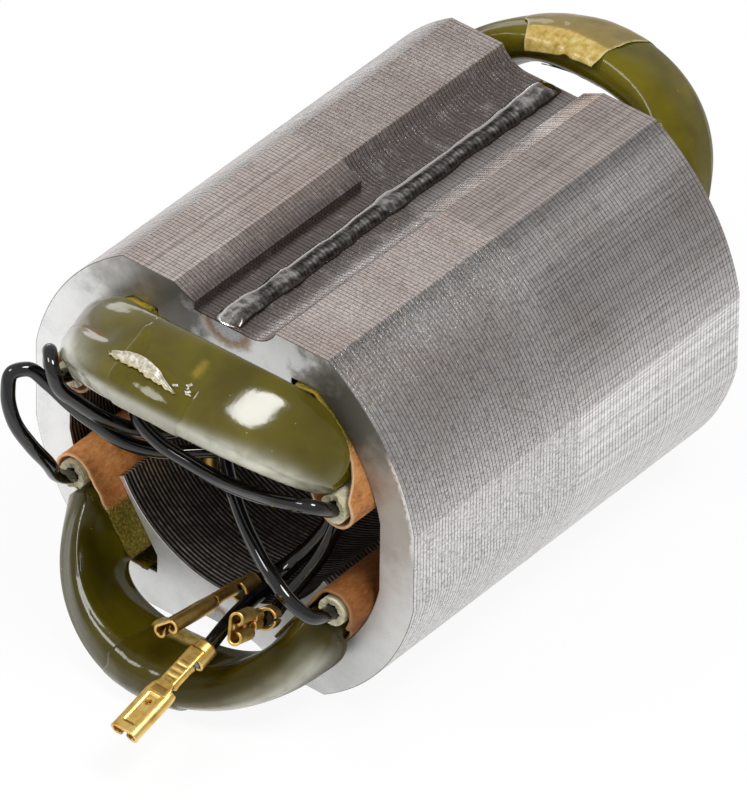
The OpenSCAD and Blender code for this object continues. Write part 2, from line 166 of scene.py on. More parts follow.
class NodeTree:
    """Shader nodes in the making. Every input takes a number, a colour or another node's output."""

    def __init__(self, owner):
        owner.use_nodes = True
        self.tree = owner.node_tree
        self.tree.nodes.clear()

    def node(self, kind, *values, out=0, settings=None, **inputs):
        """Output of a new node. Its first inputs take the values in turn, the others theirs by name."""
        made = self.tree.nodes.new("ShaderNode" + kind)
        for name, value in (settings or {}).items():
            setattr(made, name, value)
        for socket, value in zip(made.inputs, values):
            self.feed(socket, value)
        for name, value in inputs.items():
            self.feed(made.inputs[name.replace("_", " ")], value)
        return made.outputs[out] if len(made.outputs) else None

    def feed(self, socket, value):
        """Joins an output to an input, or sets the input to a number or a colour."""
        if isinstance(value, bpy.types.NodeSocket):
            self.tree.links.new(value, socket)
        elif socket.type == "RGBA":
            socket.default_value = (*value, 1)
        else:
            socket.default_value = value

    def math(self, operation, *values):
        """Number out of one to three numbers."""
        return self.node("Math", *values, settings={"operation": operation})

    def times(self, one, two):
        """Two numbers multiplied."""
        return self.math("MULTIPLY", one, two)

    def plus(self, one, two):
        """Two numbers added."""
        return self.math("ADD", one, two)

    def minus(self, one, two):
        """One number less the other."""
        return self.math("SUBTRACT", one, two)

    def times_plus(self, one, factor, more):
        """A number multiplied by a factor, and more added to it."""
        return self.math("MULTIPLY_ADD", one, factor, more)

    def measure(self, operation, *vectors):
        """Number out of one or two vectors."""
        return self.node("VectorMath", *vectors, out="Value", settings={"operation": operation})

    def ease(self, value, low, high, start=0.0, end=1.0):
        """start below low, end above high, and a smooth step between them."""
        return self.node(
            "MapRange", settings={"interpolation_type": "SMOOTHSTEP"}, Value=value,
            From_Min=low, From_Max=high, To_Min=start, To_Max=end,
        )


class Finish(NodeTree):
    """A procedural material, with the object's own millimetres as mm, x, y and z."""

    def __init__(self, name):
        self.material = bpy.data.materials.new(name)
        super().__init__(self.material)
        place = self.node("TexCoord", out="Object")
        self.mm = self.node("Mapping", Vector=place, Scale=(1 / MM,) * 3)
        self.x, self.y, self.z = self.node("SeparateXYZ", self.mm).node.outputs

    def beside(self, y):
        """The place with another y."""
        return self.node("CombineXYZ", self.x, y, self.z)

    def noise(self, scale, detail=3.0, roughness=0.55, place=None, warp=0.0):
        """Noise in waves per millimetre."""
        return self.node(
            "TexNoise", Vector=place or self.mm, Scale=scale, Detail=detail,
            Roughness=roughness, Distortion=warp,
        )

    def wander(self, noise, reach):
        """Noise as a number round 0, reach wide."""
        return self.times(self.minus(noise, 0.5), reach)

    def blend(self, share, under, over, kind="MIX"):
        """Colour under where share is 0, over where it is 1."""
        made = self.tree.nodes.new("ShaderNodeMix")
        made.data_type, made.blend_type = "RGBA", kind
        for index, value in ((0, share), (6, under), (7, over)):
            self.feed(made.inputs[index], value)
        return made.outputs[2]

    def tint(self, under, over, share=1.0):
        """Colour under multiplied by over where share is 1, as a stain darkens what lies under it."""
        return self.blend(share, under, over, "MULTIPLY")

    def ramp(self, value, *stops):
        """Colour along a ramp of (place, colour) stops."""
        made = self.tree.nodes.new("ShaderNodeValToRGB")
        held = made.color_ramp.elements
        held[0].position, held[-1].position = stops[0][0], stops[-1][0]
        for place, _ in stops[1:-1]:
            held.new(place)
        for stop, (_, colour) in zip(held, stops):
            stop.color = (*colour, 1)
        self.feed(made.inputs[0], value)
        return made.outputs[0]

    def mark(self, name):
        """A number kept on the piece's own points."""
        return self.node("Attribute", out="Fac", settings={"attribute_name": name})

    def rim_gloss(self, facing, grazing):
        """Gloss that is facing where the surface faces the eye, and grazing along its rim."""
        rim = self.node("LayerWeight", out="Facing", Blend=0.5)
        return self.ease(rim, 0.24, 0.55, facing, grazing)

    def sheets(self, low, high):
        """Which sheet of the stack a point is on, a random number of that sheet, and how near it is to
        the sheet's joint, 0 to 1."""
        turn = self.math("DIVIDE", self.plus(self.y, HALF_LEN), SHEET)
        index = self.math("FLOOR", turn)
        tone = self.node("TexWhiteNoise", settings={"noise_dimensions": "1D"}, W=index)
        off = self.math("ABSOLUTE", self.minus(self.math("FRACT", turn), 0.5))
        return index, tone, self.ease(off, low, high)

    def bump(self, height, depth):
        """Normal that is tilted by a height of 0 to 1, over a depth in millimetres."""
        return self.node("Bump", Height=height, Distance=depth * MM, Strength=1.0)

    def surface(self, **inputs):
        """The material itself, with the shader inputs that are given."""
        self.node("OutputMaterial", self.node("BsdfPrincipled", **inputs))
        return self.material


# Painted light and shade on the round outside: its brightness by height, in the front and in the rear pack,
# from a lowest height on
ROUND_LOW, ROUND_TALL = -6, 28
PAINTED_LIGHT_FRONT = [(-6, 0.86), (2, 1.0), (16, 1.06), (19, 1.15), (20.5, 1.05), (21.6, 0.72)]
PAINTED_LIGHT_REAR = [(-6, 0.92), (0, 1.2), (4, 1.27), (5.5, 1.1), (17, 0.95), (20.1, 1.2), (21.6, 0.68)]


def sheet_edge_steel():
    """Cut edges of the stacked sheets. One side of each pack shows the torn half of the cut, grainy with
    painted glints, and the other the sheared half, with lines that the die drew across every sheet alike.
    The round outside carries painted light and shade by height, and the top flats painted light."""
    f = Finish("sheet_edge_steel")
    index, tone, joint = f.sheets(0.385, 0.46)
    dash = f.ease(f.noise(3.2, 2, 0.6, f.beside(f.times(index, 3.7))), 0.34, 0.66)
    die_line = f.ease(f.noise(4.4, 1, 0.6, f.beside(0.0)), 0.36, 0.64)
    grain = f.ease(f.noise(4.2, 2, 0.6), 0.34, 0.66)
    torn = f.ease(f.times(f.x, f.minus(BREAK_Y, f.y)), -0.6, 0.6)
    sheared_light = f.times_plus(die_line, 0.34, f.times_plus(dash, 0.22, 0.20))
    torn_light = f.times_plus(grain, 0.36, f.times_plus(dash, 0.30, 0.14))
    light = f.node("Mix", settings={"data_type": "FLOAT"}, Factor=torn, A=sheared_light, B=torn_light)
    steel = f.ramp(
        f.times_plus(tone, 0.07, light),
        (0.05, (0.33, 0.322, 0.318)), (0.5, (0.78, 0.77, 0.762)), (0.95, (1.0, 0.99, 0.985)),
    )
    oxide = f.times(f.ease(f.noise(0.09, 3, 0.5), 0.25, 0.7, 0.25, 0.6), f.ease(f.z, -2.0, 18.0, 0.12, 1.0))
    colour = f.tint(steel, (0.52, 0.41, 0.375), oxide)
    rear = f.ease(f.y, BREAK_Y - 0.5, BREAK_Y + 0.5)
    off_flat = f.ease(f.math("ABSOLUTE", f.x), 13.55, 13.8)
    on_flat = f.times(f.ease(f.z, 20.6, 21.6), f.minus(1.0, off_flat))
    # Painted light: the top flats lighter, more in the front pack
    colour = f.tint(colour, f.blend(rear, (1.34, 1.24, 1.19), (1.10, 1.02, 0.98)), on_flat)
    # Painted light and shade on the round outside, lighter and darker by height in each pack
    up = f.times_plus(f.z, 1 / ROUND_TALL, -ROUND_LOW / ROUND_TALL)
    front_painted_light, rear_painted_light = (
        f.ramp(up, *[((z - ROUND_LOW) / ROUND_TALL, (gain,) * 3) for z, gain in pack])
        for pack in (PAINTED_LIGHT_FRONT, PAINTED_LIGHT_REAR)
    )
    colour = f.tint(colour, f.blend(rear, front_painted_light, rear_painted_light), off_flat)
    right_side = f.ease(f.times_plus(rear, 1.3, f.x), 2.4, 5.6, 0.9, 0.0)
    rear_slope = f.times(rear, f.ease(f.x, 6.7, 7.0, 0.4, 0.0))
    left_side = f.ease(f.times_plus(rear, 1.6, f.x), -5.4, -4.4, 0.62, 1.0)
    left_side = f.times(left_side, f.ease(f.x, -6.9, -6.6))
    by_weld = f.times(f.math("MAXIMUM", right_side, rear_slope), left_side)
    heat = f.times(by_weld, f.ease(f.noise(0.5, 3, 0.6), 0.1, 0.5))
    colour = f.blend(heat, colour, (0.20, 0.163, 0.152))
    speck = f.ease(f.noise(1.5, 3, 0.55), 0.62, 0.74, 0.0, 0.55)
    front_speck = f.times(speck, f.ease(f.y, BREAK_Y - 1, BREAK_Y + 3, 1.0, 0.2))
    colour = f.blend(front_speck, colour, (0.50, 0.40, 0.17))
    # Painted glints: near-white specks on the torn half
    painted_sparkle = f.times(f.ease(f.noise(5.2, 1, 0.5), 0.66, 0.72), torn)
    colour = f.blend(f.times(painted_sparkle, 0.6), colour, (1.0, 0.98, 0.95))
    colour = f.blend(f.times(joint, 0.7), colour, (0.055, 0.050, 0.047))
    height = f.times(grain, f.ease(torn, 0.0, 1.0, 0.45, 1.0))
    return f.surface(
        Base_Color=colour, Metallic=1.0, Roughness=f.ease(grain, 0.0, 1.0, 0.34, 0.24),
        Normal=f.bump(f.times_plus(dash, 0.4, height), 0.016),
    )


# What is left of the end faces' brightness, by degrees round the motor axis from the right over the top
SMOKE_ROUND = [
    (-180, (1.0, 1.0, 1.0)), (-140, (0.98, 0.98, 0.98)), (-118, (0.96, 0.96, 0.96)),
    (-98, (1.0, 1.0, 1.0)), (-66, (0.90, 0.90, 0.90)), (-48, (0.66, 0.66, 0.65)),
    (-30, (0.76, 0.76, 0.75)), (-8, (0.74, 0.72, 0.70)), (5, (0.56, 0.52, 0.48)),
    (22, (0.50, 0.45, 0.40)), (30, (0.36, 0.33, 0.29)), (38, (0.19, 0.18, 0.155)),
    (53, (0.17, 0.16, 0.135)), (59, (0.34, 0.32, 0.29)), (64, (0.84, 0.84, 0.83)),
    (86, (0.85, 0.86, 0.86)), (97, (0.70, 0.70, 0.69)), (104, (0.20, 0.19, 0.175)),
    (118, (0.30, 0.285, 0.26)), (130, (0.55, 0.54, 0.52)), (139, (0.92, 0.92, 0.91)),
    (152, (1.0, 1.0, 1.0)), (180, (1.0, 1.0, 1.0)),
]
# Burns where the welds end: x, z and size. They are wider than they are tall by 1 / BURN_SQUEEZE
BURNS = [(0.4, 19.5, 1.0), (-0.3, -19.6, 0.9)]
BURN_SQUEEZE = 0.72
# Dark and light tone of the melted middle and of the rusty ring round it
MELTED, RUSTY = ((0.10, 0.105, 0.11), (0.42, 0.43, 0.44)), ((0.10, 0.045, 0.018), (0.34, 0.175, 0.06))


def end_face_steel():
    """Pale passivated faces of the end sheets: smoke by the slots, burns at the welds, fine specks, and
    a ragged burr along part of the right edge, with a painted highlight along it."""
    f = Finish("end_face_steel")
    fine = f.noise(7, 4, 0.65)
    colour = f.ramp(
        f.plus(f.times(fine, 0.4), f.times(f.noise(0.3, 4, 0.6), 0.6)),
        (0.3, (0.76, 0.77, 0.77)), (0.5, (0.93, 0.935, 0.93)), (0.7, (1.0, 1.0, 0.99)),
    )
    around = f.times_plus(f.math("ARCTAN2", f.z, f.x), 1 / FULL_TURN, 0.5)
    round_face = f.plus(around, f.wander(f.noise(0.42, 5, 0.62), 0.085))
    colour = f.tint(colour, f.ramp(round_face, *[(angle / 360 + 0.5, left) for angle, left in SMOKE_ROUND]))
    flat_place = f.beside(0.0)
    ragged = f.wander(f.noise(1.2, 5, 0.65), 1.3)
    for x, z, size in BURNS:
        place, scale = (-BURN_SQUEEZE * x, 0, -z), (BURN_SQUEEZE, 0, 1)
        off = f.node("Mapping", Vector=flat_place, Location=place, Scale=scale)
        apart = f.plus(f.measure("LENGTH", off), ragged)
        middle = f.ease(apart, 1.3 * size, 1.8 * size, 0.75, 0.0)
        off_middle = f.ease(apart, 1.2 * size, 1.7 * size)
        ring = f.times(off_middle, f.ease(apart, 1.8 * size, 2.9 * size, 0.85, 0.0))
        for share, (dark, light) in ((middle, MELTED), (ring, RUSTY)):
            colour = f.blend(share, colour, f.ramp(fine, (0.35, dark), (0.6, light)))
    speck = f.ease(f.noise(4.0, 2, 0.6), 0.67, 0.73, 0.0, 0.55)
    colour = f.blend(speck, colour, (0.09, 0.085, 0.078))
    to_round = f.minus(CORE_R, f.measure("LENGTH", flat_place))
    to_edge = f.math("MINIMUM", f.minus(SIDE_X, f.x), to_round)
    torn_edge = f.plus(to_edge, f.wander(f.noise(1.6, 4, 0.65), 1.2))
    along_edge = f.times(f.ease(around, 0.498, 0.53), f.ease(around, 0.575, 0.595, 1.0, 0.0))
    burr = f.times(f.ease(torn_edge, 0.30, 0.85, 1.0, 0.0), along_edge)
    # Painted highlight: the burr's rim blended to near white
    colour = f.blend(f.times(burr, 0.9), colour, (0.98, 0.975, 0.96))
    return f.surface(
        Base_Color=colour, Metallic=0.6, Roughness=f.ease(fine, 0.3, 0.7, 0.36, 0.5),
        Normal=f.bump(f.times_plus(burr, 4.0, fine), 0.02),
    )


def bore_steel():
    """Walls of the bore and the slots: near-black varnished sheet edges, each with a thin worn line, and
    painted glints.
    """
    f = Finish("bore_steel")
    index, tone, between = f.sheets(0.14, 0.27)
    on_edge = f.minus(1.0, between)
    dash = f.noise(1.8, 3, 0.6, f.beside(f.times(index, 2.9)))
    thin = f.ease(f.noise(0.11, 3, 0.5), 0.38, 0.62, 0.45, 1.0)
    worn = f.times(on_edge, f.ease(dash, 0.28, 0.62, 0.45, 1.0))
    worn = f.times(f.times(worn, thin), f.ease(tone, 0.0, 1.0, 0.6, 1.0))
    # Painted glints on the sheet edges
    painted_glint = f.ease(f.noise(4.2, 2, 0.5), 0.67, 0.74, 0.0, 0.45)
    colour = f.blend(worn, (0.013, 0.011, 0.009), (0.66, 0.60, 0.55))
    colour = f.blend(f.times(painted_glint, on_edge), colour, (0.45, 0.42, 0.38))
    return f.surface(
        Base_Color=colour, Metallic=0.6, Roughness=f.ease(dash, 0.3, 0.7, 0.34, 0.5),
        Normal=f.bump(dash, 0.015),
    )


def weld_metal():
    """Melted steel: painted highlights along the rolled edge and on the pools' left side, painted shade
    between the ripples and in bands across the bead, and brown at the foot."""
    f = Finish("weld_metal")
    lump, pooled = f.noise(1.2, 4, 0.6), f.mark("pooled")
    melt = f.ramp(lump, (0.35, (0.12, 0.108, 0.102)), (0.5, (0.28, 0.26, 0.25)), (0.64, (0.66, 0.63, 0.61)))
    # Painted shade between the ripple crests and in bands across the bead
    melt = f.tint(melt, (0.34, 0.31, 0.30), f.mark("ripple_shade"))
    melt = f.tint(melt, (0.26, 0.235, 0.225), f.mark("trough_shade"))
    # Painted highlights on the pools' left side and along the rolled edge
    melt = f.blend(f.times(pooled, f.ease(lump, 0.4, 0.55, 0.2, 0.8)), melt, (0.74, 0.70, 0.68))
    melt = f.blend(f.ease(f.mark("rolled"), 0.12, 0.55), melt, (0.95, 0.91, 0.88))
    colour = f.blend(f.ease(f.mark("foot"), 0.45, 1.0), melt, (0.10, 0.075, 0.06))
    rough = f.times(f.ease(lump, 0.3, 0.7, 0.2, 0.1), f.ease(pooled, 0.0, 1.0, 1.0, 0.45))
    return f.surface(Base_Color=colour, Metallic=1.0, Roughness=rough, Normal=f.bump(lump, 0.04))


# Colour of the painted reflection along the edges of the resin and the film, and the y between which the
# front turns' looks go over to the rear turns'
PAINTED_REFLECTION_TONE = (0.76, 0.75, 0.64)
TO_REAR = (20, 30)


def dip_resin():
    """Glossy olive dip resin with pale dust caught in it, redder in its creases and golden where it is
    thin, with painted shade on the lower front turn, painted light on the rear turns and a painted
    reflection along the edges."""
    f = Finish("dip_resin")
    cloud, lump, fine = f.noise(0.16, 3, 0.5, warp=0.3), f.noise(0.5, 3, 0.5), f.noise(1.3, 3, 0.6)
    painted_shade = f.mark("painted_shade")
    olive = f.ramp(
        cloud, (0.32, (0.066, 0.053, 0.002)), (0.5, (0.091, 0.074, 0.003)), (0.7, (0.122, 0.099, 0.004)),
    )
    thin = f.plus(f.mark("stain"), f.wander(f.noise(0.9, 4, 0.6), 0.9))
    olive = f.blend(f.ease(thin, 0.35, 0.9, 0.0, 0.7), olive, (0.30, 0.215, 0.022))
    # Painted shade: the lower front turn darker
    olive = f.tint(olive, (0.42, 0.38, 0.3), painted_shade)
    # Painted light: the rear turns lighter
    olive = f.tint(olive, (1.2, 1.18, 1.3), f.ease(f.y, *TO_REAR))
    # Painted reflection along the edges and on the left bulge
    olive = f.blend(f.times(f.mark("painted_reflection"), f.ease(lump, 0.3, 0.6, 0.7, 1.0)), olive, PAINTED_REFLECTION_TONE)
    olive = f.blend(f.ease(f.mark("crease"), 0.5, 1.0, 0.0, 0.6), olive, (0.17, 0.07, 0.010))
    dot, pick = (f.node("TexVoronoi", out=out, Vector=f.mm, Scale=0.85) for out in ("Distance", "Color"))
    dust = f.times(f.ease(dot, 0.035, 0.085, 1.0, 0.0), f.ease(pick, 0.5, 0.58))
    colour = f.blend(f.times(dust, 0.75), olive, (0.46, 0.39, 0.13))
    gloss = f.times(f.rim_gloss(0.46, 1.0), f.ease(painted_shade, 0.0, 1.0, 1.0, 0.35))
    gloss = f.times(gloss, f.ease(f.y, *TO_REAR, 1.0, 0.45))
    return f.surface(
        Base_Color=colour, Roughness=0.3, Specular_IOR_Level=0.0, Coat_Weight=gloss, Coat_Roughness=0.12,
        Coat_IOR=1.9, Normal=f.bump(fine, 0.02), Coat_Normal=f.bump(f.times_plus(fine, 0.42, lump), 0.03),
    )


def wrap_film():
    """Film wrap: soaked with olive resin where it lies on the coil, gold where it stands free of it,
    with a pale cut edge, painted shade on the lower wraps and a painted reflection along an edge."""
    f = Finish("wrap_film")
    cloud, streak = f.noise(0.3, 4, 0.6), f.noise(1.3, 4, 0.6)
    free = f.plus(f.mark("free"), f.wander(cloud, 0.5))
    soaked = f.ramp(cloud, (0.3, (0.076, 0.062, 0.003)), (0.7, (0.118, 0.096, 0.006)))
    # Painted shade: the soaked film darker on the lower wraps
    soaked = f.tint(soaked, (0.63, 0.60, 0.55), f.ease(f.z, 0, -5))
    gold = f.ramp(
        streak, (0.3, (0.33, 0.215, 0.04)), (0.5, (0.50, 0.365, 0.10)), (0.72, (0.66, 0.53, 0.24)),
    )
    rose = f.ease(f.noise(0.55, 3, 0.5), 0.58, 0.68, 0.0, 0.6)
    gold = f.blend(rose, gold, (0.62, 0.33, 0.14))
    brown = f.blend(f.ease(free, 0.06, 0.42), soaked, (0.27, 0.195, 0.060))
    colour = f.blend(f.ease(free, 0.42, 0.62), brown, gold)
    rim = f.times(f.ease(f.mark("rim"), 0.93, 1.0), f.ease(streak, 0.35, 0.6, 0.3, 1.0))
    colour = f.blend(f.times(rim, 0.75), colour, (0.62, 0.55, 0.30))
    speck = f.ease(f.noise(2.6, 2, 0.6), 0.68, 0.74, 0.0, 0.7)
    colour = f.blend(f.times(speck, f.ease(free, 0.4, 0.7)), colour, (0.09, 0.06, 0.015))
    # Painted reflection along the film's edge
    colour = f.blend(f.mark("painted_reflection"), colour, PAINTED_REFLECTION_TONE)
    gloss = f.times(f.rim_gloss(0.3, 1.0), f.ease(f.y, *TO_REAR, 1.0, 0.5))
    return f.surface(
        Base_Color=colour, Roughness=0.32, Specular_IOR_Level=0.0, Coat_Weight=gloss, Coat_Roughness=0.09,
        Coat_IOR=1.9, Normal=f.bump(streak, 0.04), Coat_Normal=f.bump(streak, 0.02),
    )


def film_shard():
    """Torn film with nothing behind it: pale, whitened further as a painted highlight, and shiny, yellow
    along its torn edge.
    """
    f = Finish("film_shard")
    streak = f.noise(1.6, 4, 0.65)
    # Pale film, its palest tone whitened further as a painted highlight
    pale = f.ramp(streak, (0.3, (0.25, 0.21, 0.10)), (0.48, (0.47, 0.42, 0.31)), (0.66, (0.82, 0.77, 0.70)))
    colour = f.blend(f.ease(f.mark("torn"), 0.45, 1.0, 0.0, 0.8), pale, (0.48, 0.38, 0.07))
    return f.surface(
        Base_Color=colour, Roughness=0.28, Coat_Weight=1.0, Coat_Roughness=0.04,
        Normal=f.bump(streak, 0.02),
    )


def fish_paper():
    """Orange-brown slot paper: felted fibres, pale cut edges, olive resin spattered over the legs by the
    coil and golden where the soaked paper stands free, and painted light and shade that makes each liner's
    paper lighter or darker."""
    f = Finish("fish_paper")
    fibre = f.noise(1.0, 5, 0.72, f.node("Mapping", Vector=f.mm, Scale=(2.4, 1.1, 2.4)))
    cloud = f.noise(0.35, 3, 0.5)
    paper = f.ramp(
        f.plus(f.times(fibre, 0.6), f.times(cloud, 0.4)),
        (0.32, (0.26, 0.092, 0.024)), (0.5, (0.52, 0.225, 0.074)), (0.68, (0.72, 0.37, 0.15)),
    )
    paper = f.blend(f.times(f.ease(f.mark("cut"), 0.93, 1.0), 0.8), paper, (0.72, 0.50, 0.29))
    # Painted light and shade: each liner's paper lighter or darker as a whole
    paper = f.tint(paper, f.ramp(
        f.mark("painted_light_shade"), (0.0, (1.3, 1.2, 1.08)), (0.3, (0.96, 0.96, 0.96)), (1.0, (0.42, 0.33, 0.22)),
    ))
    olive = f.ramp(
        f.noise(3.4, 3, 0.65),
        (0.35, (0.075, 0.060, 0.005)), (0.52, (0.19, 0.15, 0.016)), (0.7, (0.36, 0.29, 0.06)),
    )
    gilt = f.times(f.mark("gilt"), f.ease(cloud, 0.3, 0.55, 0.5, 0.95))
    olive = f.blend(gilt, olive, (0.46, 0.31, 0.035))
    resin = f.ease(f.plus(f.mark("soaked"), f.wander(f.noise(4.5, 3, 0.7), 1.5)), 0.45, 0.7)
    return f.surface(
        Base_Color=f.blend(resin, paper, olive), Roughness=f.ease(resin, 0.0, 1.0, 0.75, 0.42),
        Specular_IOR_Level=0.25, Normal=f.bump(fibre, 0.09),
    )


def glass_sleeve():
    """Cream varnished fibreglass sleeve: a fine braid, greener where resin and copper salts have wicked
    in."""
    f = Finish("glass_sleeve")
    twist, climb = f.times(f.mark("turn"), 150.0), f.times(f.mark("run"), 9.0)
    braid = f.times(f.math("SINE", f.plus(twist, climb)), f.math("SINE", f.minus(twist, climb)))
    cloud = f.noise(0.8, 4, 0.6)
    cream = f.ramp(cloud, (0.3, (0.46, 0.42, 0.25)), (0.55, (0.70, 0.64, 0.44)), (0.75, (0.84, 0.80, 0.64)))
    green = f.ease(f.noise(0.9, 2, 0.5), 0.58, 0.68, 0.0, 0.5)
    colour = f.blend(green, cream, (0.34, 0.44, 0.26))
    colour = f.blend(f.ease(braid, -0.2, -1.0, 0.0, 0.3), colour, (0.36, 0.33, 0.16))
    return f.surface(
        Base_Color=colour, Roughness=f.ease(cloud, 0.3, 0.7, 0.45, 0.65),
        Normal=f.bump(f.ease(braid, -1.0, 1.0), 0.05),
    )


def lead_skin():
    """Black plastic insulation, glossy and a little dusty."""
    f = Finish("lead_skin")
    colour = f.ramp(
        f.noise(0.9, 5, 0.65),
        (0.4, (0.003, 0.003, 0.0035)), (0.66, (0.006, 0.006, 0.0065)), (0.8, (0.03, 0.029, 0.027)),
    )
    return f.surface(
        Base_Color=colour, Roughness=0.35, Specular_IOR_Level=0.0, Coat_Weight=f.rim_gloss(0.75, 1.0),
        Coat_Roughness=0.025, Coat_IOR=1.8,
    )


def terminal_brass():
    """Stamped brass: rolling grain, brown tarnish in the folds."""
    f = Finish("terminal_brass")
    cloud, grain = f.noise(0.6, 4, 0.6), f.noise(6, 3, 0.6)
    brass = f.ramp(cloud, (0.3, (0.62, 0.37, 0.09)), (0.5, (0.86, 0.57, 0.17)), (0.72, (0.95, 0.70, 0.27)))
    folded = f.plus(f.mark("fold"), f.wander(cloud, 0.8))
    colour = f.blend(f.ease(folded, 0.45, 1.0, 0.0, 0.7), brass, (0.22, 0.10, 0.025))
    return f.surface(
        Base_Color=colour, Metallic=1.0, Roughness=f.ease(grain, 0.3, 0.7, 0.33, 0.46),
        Normal=f.bump(grain, 0.006),
    )


def copper_strand():
    """Bare copper strands of a lead's conductor."""
    f = Finish("copper_strand")
    worn = f.noise(2, 3, 0.6)
    colour = f.ramp(worn, (0.3, (0.36, 0.13, 0.05)), (0.7, (0.78, 0.36, 0.18)))
    return f.surface(Base_Color=colour, Metallic=1.0, Roughness=f.ease(worn, 0.3, 0.7, 0.22, 0.4))


def splice_solder():
    """Dull soft solder."""
    f = Finish("splice_solder")
    lump = f.noise(1.4, 3, 0.6)
    colour = f.ramp(lump, (0.3, (0.34, 0.33, 0.32)), (0.7, (0.60, 0.59, 0.57)))
    return f.surface(
        Base_Color=colour, Metallic=1.0, Roughness=f.ease(lump, 0.3, 0.7, 0.3, 0.5),
        Normal=f.bump(lump, 0.08),
    )


def uneven(seed, periods, u, v=0.0, count=28):
    """Smooth seeded unevenness of about -1 to 1: a sum of cosine waves, each with a whole number of
    periods over u and over v from 0 to 1 and a height that falls with that number."""
    rng = np.random.default_rng(seed)
    in_u, in_v = rng.integers(-periods, periods + 1, (2, count))
    phase = rng.uniform(0, FULL_TURN, count)
    height = 1 / (1 + np.hypot(in_u, in_v))
    waves = [h * np.cos(FULL_TURN * (a * u + b * v) + p) for a, b, p, h in zip(in_u, in_v, phase, height)]
    return sum(waves) / np.sqrt((height**2).sum())


def ragged_sides(seed, periods, along, across):
    """Unevenness along the two sides of a strip, each with its own."""
    return np.where(across < 0, uneven(seed, periods, along), uneven(seed + 1, periods, along))


def step(value, low, high):
    """Smooth step from 0 at low to 1 at high."""
    t = np.clip((value - low) / (high - low), 0, 1)
    return t * t * (3 - 2 * t)


def bell(off, width):
    """Bell curve: 1 in its middle, and 1 / e where the way off from there is the width."""
    return np.exp(-((off / width) ** 2))


def soft(value, power):
    """A power that keeps the sign: below 1 it squares a circle off."""
    return np.sign(value) * np.abs(value) ** power


def turned_from(degrees, middle):
    """Signed degrees from a middle angle, the short way round."""
    return (degrees - middle + 180) % 360 - 180


def full_circle(count):
    """Angles all the way round, in radians."""
    return np.linspace(0, FULL_TURN, count, endpoint=False)


def left_of(ahead):
    """Unit vectors square to plane vectors, on their left."""
    return np.stack([-ahead[:, 1], ahead[:, 0]], 1) / np.linalg.norm(ahead, axis=1)[:, None]


def points(x, y, z):
    """Points out of three coordinates that fit each other."""
    return np.stack(np.broadcast_arrays(x, y, z), -1)


def cells(rows, cols, round_rows=False, round_cols=False, first=0):
    """Four corners of each cell in a grid of points listed row by row; a round direction closes on
    itself."""
    r = np.arange(rows if round_rows else rows - 1)[:, None]
    c = np.arange(cols if round_cols else cols - 1)[None, :]
    r1, c1 = (r + 1) % rows, (c + 1) % cols
    corners = np.broadcast_arrays(r * cols + c, r * cols + c1, r1 * cols + c1, r1 * cols + c)
    return np.stack(corners, -1).reshape(-1, 4) + first


def joined(grids, closed=FLAT_GRID):
    """Points of several grids in one list, and the cells of each."""
    firsts = np.cumsum([0] + [grid[..., 0].size for grid in grids])
    faces = [cells(*grid.shape[:2], *closed, first) for grid, first in zip(grids, firsts)]
    return np.vstack([grid.reshape(-1, 3) for grid in grids]), faces


def add_piece(name, place, faces, finishes, finish_of=None, marks=None, sharp=60):
    """Object of points in millimetres with its place in its mesh, faces turned outwards, smooth up to
    the sharp angle, with a finish per face and marks per point."""
    mesh = bpy.data.meshes.new(name)
    corners = [face for part in faces for face in part.tolist()]
    mesh.from_pydata(np.reshape(place, (-1, 3)) * MM, [], corners)
    for finish in finishes:
        mesh.materials.append(finish)
    if finish_of is not None:
        mesh.polygons.foreach_set("material_index", np.asarray(finish_of, np.int32))
    for mark, values in (marks or {}).items():
        values = np.broadcast_to(values, place.shape[:-1]).astype(np.float32)
        mesh.attributes.new(mark, "FLOAT", "POINT").data.foreach_set("value", values.ravel())
    shell = bmesh.new()
    shell.from_mesh(mesh)
    bmesh.ops.recalc_face_normals(shell, faces=shell.faces)
    shell.to_mesh(mesh)
    shell.free()
    mesh.shade_smooth()
    mesh.set_sharp_from_angle(angle=np.radians(sharp))
    piece = bpy.data.objects.new(name, mesh)
    bpy.context.scene.collection.objects.link(piece)
    return piece


def add_grid(name, grid, closed, finish, marks=None, sharp=60):
    """Object out of one grid of points, of one finish."""
    return add_piece(name, grid, [cells(*grid.shape[:2], *closed)], [finish], marks=marks, sharp=sharp)


def thicken(piece, thickness):
    """The piece as a sheet of that thickness, half of it on either side."""
    wall = piece.modifiers.new("sheet_thickness", "SOLIDIFY")
    wall.thickness = thickness * MM
    wall.offset = 0.0
    wall.use_even_offset = True
    return piece


def stand_for(piece, node=None):
    """The piece rides on the one body of the part and, with a node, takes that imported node's place."""
    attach(piece, "root")
    if node:
        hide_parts(node)


def line(start, end, gap):
    """Points on a straight line from start up to but not including end, about gap apart."""
    start, end = np.asarray(start, float), np.asarray(end, float)
    count = max(1, int(np.ceil(np.linalg.norm(end - start) / gap)))
    return start + np.arange(count)[:, None] / count * (end - start)


def arc(centre, radius, first, last, gap):
    """Points on a circle from one angle up to but not including another, about gap apart."""
    count = max(1, int(np.ceil(abs(last - first) * radius / gap)))
    angle = first + np.arange(count) / count * (last - first)
    return np.asarray(centre) + radius * np.stack([np.cos(angle), np.sin(angle)], 1)


def mirrored_round(half):
    """Closes the upper half of an outline with its own mirror image below, walked back."""
    return np.vstack([half[:-1], (half * (1, -1))[::-1][:-1]])


